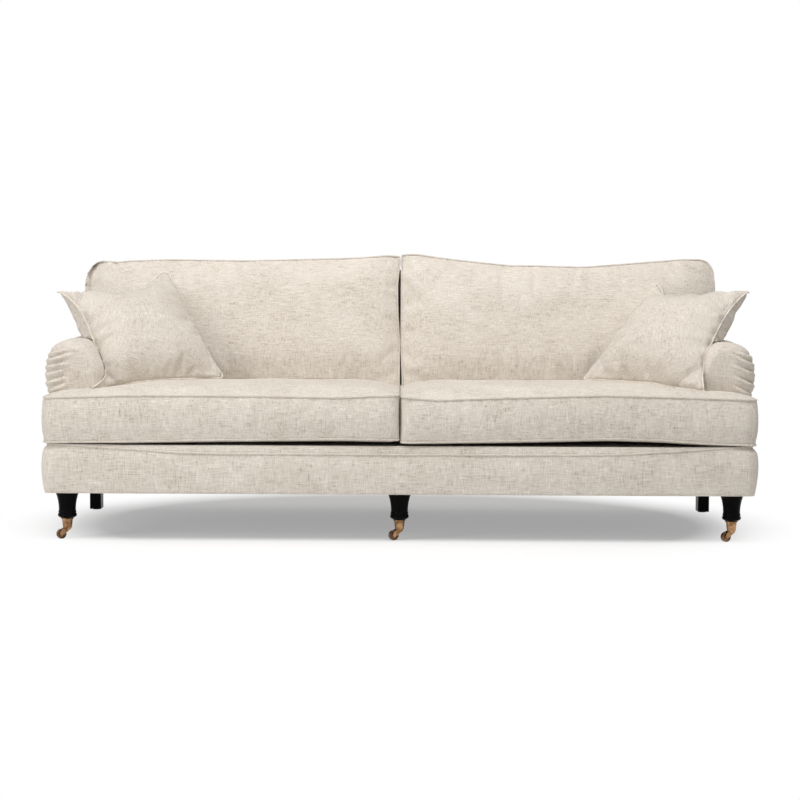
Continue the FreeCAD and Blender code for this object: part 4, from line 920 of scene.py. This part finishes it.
def outside_back_panel():
    """The panel behind the back: it leans with the posts, and piping runs up, over and down its edge."""
    half = panel_high.x
    zs = lines(panel_low.z, panel_high.z, 0.022, OUTSIDE_FOOT)
    points, _, faces = lattice(lines(-half, half, 0.022), np.array([0.0, 1.0]), zs)
    lean = np.maximum(points[:, 2] - OUTSIDE_FOOT, 0) * OUTSIDE_LEAN
    puff = 0.006 * full(from_edges(points, 0, 2), 0.06) + wobble(points, 0.3, 71) * 0.001
    points[:, 1] = panel_low.y + 0.0004 + lean + np.where(points[:, 1] > 0.5, 0.011 + puff, 0)
    soft_piece("outside_back_panel", points, faces, ["outside_back_panel"], 0.5)
    inset = 0.004
    reach, foot, top = half - inset, panel_low.z + inset, panel_high.z - inset
    corners = np.array([(-reach, foot), (-reach, top), (reach, top), (reach, foot)])
    x, z = np.concatenate([np.linspace(start, end, 90, endpoint=False)
                           for start, end in zip(corners, corners[1:])]).T
    y = panel_low.y + 0.0115 + np.maximum(z - OUTSIDE_FOOT, 0) * OUTSIDE_LEAN
    piping("outside_back_welt", [np.stack([x, y, z], 1)], 0.0033, WELT, "root", "linen_cover", closed=False)


def deck():
    """The platform that the seat cushions lie on; it reaches out in front of the arms."""
    arm_side, arm_start = ARM_INNER + 0.051, ARM_FRONT + 0.025
    xs = lines(deck_low.x, deck_high.x, 0.03, -arm_side, arm_side)
    ys = lines(deck_low.y, deck_high.y, 0.03, arm_start)
    zs = np.array([deck_low.z - 0.004, deck_high.z - 0.0002])
    points, grid, faces = lattice(xs, ys, zs, lambda x, y, z: (np.abs(x) < arm_side) | (y < arm_start))
    sag = wobble(points, 0.35, 81) * 0.0008 - 0.0012
    points[:, 2] += np.where(grid[:, 2] == 1, sag, 0)
    soft_piece("deck", points, faces, ["deck_pad"], 0.5, material=FELT, slot="felt_pad")


def insulator():
    """The felt over the springs."""
    low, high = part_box("spring_insulator")
    points, _, faces = lattice(lines(low.x, high.x, 0.04), lines(low.y, high.y, 0.04),
                                  np.array([low.z, high.z - 0.0045]))
    points[:, 2] += wobble(points, 0.12, 83) * 0.0004 + 0.0004
    soft_piece("insulator_pad", points, faces, ["spring_insulator"], 0.3, material=FELT, slot="felt_pad")


LEGS = [f"{end}_leg_{place}" for end in ("front", "rear") for place in ("left", "centre", "right")]


def undercloth():
    """Black cloth stapled under the frame, drawn in between its staples, with holes for the legs."""
    low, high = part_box("dust_cover")
    holes = [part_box(leg) for leg in LEGS]
    play = 0.004

    def keep(x, y, z):
        """The cells outside every leg's hole."""
        kept = np.ones_like(x, bool)
        for near, far in holes:
            across = (x > near.x - play) & (x < far.x + play)
            kept &= ~(across & (y > near.y - play) & (y < far.y + play))
        return kept

    points, _, faces = lattice(lines(low.x, high.x, 0.025), lines(low.y, high.y, 0.025),
                                  np.array([0.0, 0.0009]), keep)
    edge = from_edges(points, 0, 1)
    sag = 0.004 * full(edge, 0.25) + 0.0008 * (1 + wobble(points, 0.08, 91)) * np.exp(-(edge / 0.05) ** 2)
    points[:, 2] += high.z - 0.0014 - sag
    thing = made("dust_cloth", points, faces, UNDERCLOTH, "root", "dust_cloth")
    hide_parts("dust_cover")


def straps():
    """Webbing straps between the back's rails, evenly spread."""
    low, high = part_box("back_webbing")
    number = 9
    half_width = 0.025
    points = []
    faces = []
    for strap in range(number):
        middle = ((2 * strap + 1) / number - 1) * ARM_INNER
        part, _, quads = lattice(np.linspace(middle - half_width, middle + half_width, 5),
                                    np.array([0.0, 0.0012]), lines(low.z, high.z, 0.02))
        part[:, 1] += low.y + (part[:, 2] - low.z) * BACK_LEAN - 0.0001
        faces.append(quads + sum(len(before) for before in points))
        points.append(part)
    thing = made("back_straps", np.concatenate(points), np.concatenate(faces), WEBBING, "root", "webbing")
    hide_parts("back_webbing")


# Scatter cushions: corners from the outer top one round to the outer low one, the way the face looks, the
# weave's turn in degrees, how far the outer, inner, top and low rims are drawn in, and where the top dents.
SCATTER = {
    "left": dict(
        corners=((-1.181, -0.029, 0.798), (-0.824, 0.219, 0.859),
                 (-0.602, -0.022, 0.500), (-1.030, -0.260, 0.474)),
        facing=(0.350, -0.666, 0.659), turn=(41.2, -7.1, -27.7), draws=(0.27, 0.05, 0.31, 0.03), dent=-0.29),
    "right": dict(
        corners=((1.190, -0.085, 0.810), (0.902, 0.195, 0.829),
                 (0.626, 0.014, 0.498), (1.004, -0.330, 0.480)),
        facing=(-0.483, -0.541, 0.688), turn=(43.5, 3.2, 41.8), draws=(0.20, 0.06, 0.30, 0.05), dent=-0.50),
}
SCATTER_CELLS = 56
SCATTER_CORNER = 0.11


def rounded_square(a, b):
    """A square's own coordinates, from -1 to 1, with its corners drawn in to a radius."""
    straight = 1 - SCATTER_CORNER
    past_a, past_b = (np.clip(np.abs(part) - straight, 0, 1) for part in (a, b))
    shrink = np.maximum(past_a, past_b) / np.maximum(np.hypot(past_a, past_b), 1e-9)
    return [np.where(shrink > 0, np.sign(part) * (np.minimum(np.abs(part), straight) + past * shrink), part)
            for part, past in ((a, past_a), (b, past_b))]


def scatter_cushion(side):
    """A square cushion between its four corners, thick in the middle and drawn in along its edges."""
    facts = SCATTER[side]
    outer_top, inner_top, inner_low, outer_low = (np.array(corner) for corner in facts["corners"])
    facing = np.array(facts["facing"])
    facing /= np.linalg.norm(facing)
    outer_draw, inner_draw, top_draw, low_draw = facts["draws"]
    size = SCATTER_CELLS + 1
    spread = np.linspace(-1, 1, size)
    a, b = np.meshgrid(spread, spread, indexing="ij")
    round_a, round_b = rounded_square(a, b)
    off = a - facts["dent"]
    dent = np.exp(-((off / np.where(off > 0, 1.0, 0.36)) ** 2)) * (1 - np.abs(a) ** 6)

    def sheet(power):
        """Where each point lies between the corners; a high power keeps the sides' draw near the rim."""
        side_draw = np.where(a > 0, outer_draw, -inner_draw) * (1 - np.abs(b) ** 3)
        end_draw = np.where(b > 0, top_draw * dent, -low_draw * (1 - np.abs(a) ** 3))
        u = (round_a - side_draw * np.abs(a) ** power + 1) / 2
        v = (round_b - end_draw * np.abs(b) ** 3 + 1) / 2
        return ((1 - u)[..., None] * ((1 - v)[..., None] * inner_low + v[..., None] * inner_top)
                + u[..., None] * ((1 - v)[..., None] * outer_low + v[..., None] * outer_top))

    fullness = np.clip(1 - a ** 2, 0, 1) ** 0.52 * np.clip(1 - b ** 2, 0, 1) ** 0.52
    thick = 0.066 * fullness
    folds = 0.006 * np.sin(b * 19 + 2.2 * np.sin(b * 5)) * np.exp(-((1 - a) / 0.34) ** 2)
    folds += 0.004 * np.sin(a * 15 + 1.3) * np.exp(-((1 - b) / 0.22) ** 2)
    folds *= np.clip((1 - a ** 2) * (1 - b ** 2) * 12, 0, 1)
    lean = 0.020 * np.clip(a, 0, 1) ** 4 * np.clip(1 - b ** 2, 0, 1) ** 0.5
    front = sheet(3) + facing * (thick + folds + lean)[..., None]
    rear = sheet(12) - facing * (thick * 0.85)[..., None]

    # The two sheets share the points of the rim.
    rim = (np.abs(a) > 1 - 1e-9) | (np.abs(b) > 1 - 1e-9)
    front_index = np.arange(size * size).reshape(size, size)
    rear_index = front_index.copy()
    rear_index[~rim] = size * size + np.arange((~rim).sum())
    points = np.concatenate([front.reshape(-1, 3), rear[~rim]])
    quads = []
    for index, way in ((front_index, 1), (rear_index, -1)):
        quad = np.stack([index[:-1, :-1], index[1:, :-1], index[1:, 1:], index[:-1, 1:]], -1).reshape(-1, 4)
        quads.append(quad[:, ::way])
    faces = np.concatenate(quads)
    if np.sum(normals_of(points, faces)[front_index[size // 2, size // 2]] * facing) < 0:
        faces = faces[:, ::-1]
    rim_loop = np.concatenate([front_index[:, 0], front_index[-1, 1:], front_index[::-1, -1][1:],
                               front_index[0, ::-1][1:-1]])
    pins = np.zeros(len(points))
    pins[rim_loop] = 0.9
    # The scatter cushions' linen is the cover's made 4% darker: painted shade.
    look = linen(f"linen_scatter_painted_shade_{side}_look", [math.radians(part) for part in facts["turn"]], 0.96)
    name = "scatter_cushion_" + side
    stands_for = ["scatter_cushion_cover_" + side, "scatter_cushion_pad_" + side]
    thing = soft_piece(name, points, faces, stands_for, 0.6, name, look)
    to_inflate(thing, pins, 3.0, 0.05, 0.026, 0.3)
    return thing, rim_loop


def pushed_clear(thing, others, gap, reach=0.11):
    """Move the points that are inside other pieces, or nearer than the gap, out to the gap."""
    points = places_of(thing)
    for other in others:
        mesh = other.data
        tree = BVHTree.FromPolygons([vertex.co for vertex in mesh.vertices],
                                    [list(face.vertices) for face in mesh.polygons])
        for number, point in enumerate(points):
            spot, normal, _, distance = tree.find_nearest(Vector(point), reach)
            if spot is None:
                continue
            inside = (Vector(point) - spot).dot(normal) < 0
            if inside or distance < gap:
                points[number] = spot + normal * gap
    set_places(thing, points)


# Put it together.
seats = {side: seat_cushion(side, sign) for side, sign in SIDES}
backs = {side: back_cushion(side, sign) for side, sign in SIDES}
arms = {side: arm(side, sign) for side, sign in SIDES}
scatters = {side: scatter_cushion(side) for side, _ in SIDES}
inflate_all()
for side, _ in SIDES:
    thing, rim_loop = scatters[side]
    pushed_clear(thing, [arms[side], backs[side], seats[side]], 0.002)
    piping("scatter_piping_" + side, [places_of(thing)[rim_loop]], 0.0028, PIPING, "scatter_cushion_" + side,
           "linen_cover")
front_border()
for side, sign in SIDES:
    outside_arm_panel(side, sign)
back_hull()
outside_back_panel()
deck()
insulator()
undercloth()
straps()

PLACES = ("left", "centre", "right")
dress(BLACK, *LEGS)
dress(BRASS, "caster_cups", *[f"caster_{part}_{place}" for part in ("fork", "axle") for place in PLACES])
dress(BRONZE, *["caster_wheel_" + place for place in PLACES])
dress(STEEL, "seat_springs", "spring_clips", "leg_bolts")
dress(NYLON, "rear_leg_glides")
dress(TIMBER["x"], "front_rail", "rear_rail", "back_top_rail", "back_lower_rail", "corner_blocks")
dress(TIMBER["y"], "side_rail_left", "side_rail_right", "centre_stretcher", "arm_top_board_left",
      "arm_top_board_right")
dress(TIMBER["z"], "back_post_left", "back_post_right", "back_centre_post", "arm_front_board_left",
      "arm_front_board_right")

# The floor: pale, and white away from the sofa, where camera and glossy rays see its own glow.
FLOOR_HALF = 30
FLOOR_LIFT = 0.34
FADE_FROM, FADE_TO = 0.6, 1.1
floor_mesh = bpy.data.meshes.new("floor")
floor_mesh.from_pydata([(-FLOOR_HALF, -FLOOR_HALF, 0), (FLOOR_HALF, -FLOOR_HALF, 0),
                        (FLOOR_HALF, FLOOR_HALF, 0), (-FLOOR_HALF, FLOOR_HALF, 0)], [], [(0, 1, 2, 3)])
floor = bpy.data.objects.new("floor", floor_mesh)
scene.collection.objects.link(floor)
floor_look, tree, shader = node_tree("floor_look")
shader.inputs["Base Color"].default_value = (0.93, 0.93, 0.93, 1)
shader.inputs["Roughness"].default_value = 0.9
shader.inputs["Specular IOR Level"].default_value = 0.1
where = tree.nodes.new("ShaderNodeTexCoord").outputs["Object"]
bump(tree, shader, noise_at(tree, where, (3, 3, 3), 2.0, 0.5), 0.02, 0.001)
squeeze = tree.nodes.new("ShaderNodeMapping")
squeeze.inputs["Scale"].default_value = (0.78, 1.0, 1.0)
tree.links.new(where, squeeze.inputs["Vector"])
reach = tree.nodes.new("ShaderNodeVectorMath")
reach.operation = "LENGTH"
tree.links.new(squeeze.outputs["Vector"], reach.inputs[0])
fade = tree.nodes.new("ShaderNodeMapRange")
fade.interpolation_type = "SMOOTHSTEP"
fade.inputs["From Min"].default_value = FADE_FROM
fade.inputs["From Max"].default_value = FADE_TO
tree.links.new(reach.outputs["Value"], fade.inputs["Value"])
rays = tree.nodes.new("ShaderNodeLightPath")
seen = sum_of(tree, "MAXIMUM", rays.outputs["Is Camera Ray"], rays.outputs["Is Glossy Ray"])
lifted = sum_of(tree, "MAXIMUM", fade.outputs["Result"], FLOOR_LIFT)
glow = tree.nodes.new("ShaderNodeEmission")
glow.inputs["Color"].default_value = (1, 1, 1, 1)


def mixed_into(tree, share, first, second, output):
    """Two shaders mixed by a share, and sent to a material's or the world's output."""
    mix = tree.nodes.new("ShaderNodeMixShader")
    tree.links.new(share, mix.inputs["Fac"])
    tree.links.new(first, mix.inputs[1])
    tree.links.new(second, mix.inputs[2])
    tree.links.new(mix.outputs["Shader"], tree.nodes[output].inputs["Surface"])


mixed_into(tree, sum_of(tree, "MULTIPLY", lifted, seen), shader.outputs["BSDF"], glow.outputs["Emission"],
           "Material Output")
floor_mesh.materials.append(floor_look)

# The world: dim for the light on the sofa, and white where camera, transmission and glossy rays see it.
world = bpy.data.worlds.new("studio")
scene.world = world
world.use_nodes = True
tree = world.node_tree
dim = tree.nodes["Background"]
dim.inputs["Color"].default_value = (1.0, 0.985, 0.965, 1)
dim.inputs["Strength"].default_value = 0.32
white = tree.nodes.new("ShaderNodeBackground")
white.inputs["Color"].default_value = (1, 1, 1, 1)
white.inputs["Strength"].default_value = 1.0
rays = tree.nodes.new("ShaderNodeLightPath")
seen = sum_of(tree, "MAXIMUM", rays.outputs["Is Camera Ray"], rays.outputs["Is Transmission Ray"])
seen = sum_of(tree, "MAXIMUM", seen, rays.outputs["Is Glossy Ray"])
mixed_into(tree, seen, dim.outputs["Background"], white.outputs["Background"], "World Output")


def lamp(name, place, aim, size, power):
    """A rectangular lamp that looks at a place."""
    light = bpy.data.lights.new(name, "AREA")
    light.shape = "RECTANGLE"
    light.size, light.size_y = size
    light.energy = power
    thing = bpy.data.objects.new(name, light)
    scene.collection.objects.link(thing)
    thing.location = place
    thing.rotation_mode = "QUATERNION"
    thing.rotation_quaternion = (Vector(aim) - Vector(place)).to_track_quat("-Z", "Y")


lamp("top", (0.1, -1.5, 3.6), (0, 0.1, 0.4), (4.4, 2.0), 120)
lamp("side", (-4.0, -2.9, 1.6), (-0.3, 0, 0.4), (1.8, 2.2), 62)

# The camera stands as far off as the photograph's, looks slightly down and is turned a little.
EYE = (0, -6.98, 0.919)
LOOK_DOWN = 4.03
ROLL = 0.28
camera = bpy.data.cameras.new("camera")
camera.sensor_width = 36
camera.lens = 91.26
camera.clip_start, camera.clip_end = 0.1, 100
eye = bpy.data.objects.new("camera", camera)
scene.collection.objects.link(eye)
eye.matrix_world = (Matrix.Translation(EYE) @ Matrix.Rotation(math.radians(90 - LOOK_DOWN), 4, "X")
                    @ Matrix.Rotation(math.radians(ROLL), 4, "Z"))
scene.camera = eye
scene.view_settings.view_transform = "Standard"
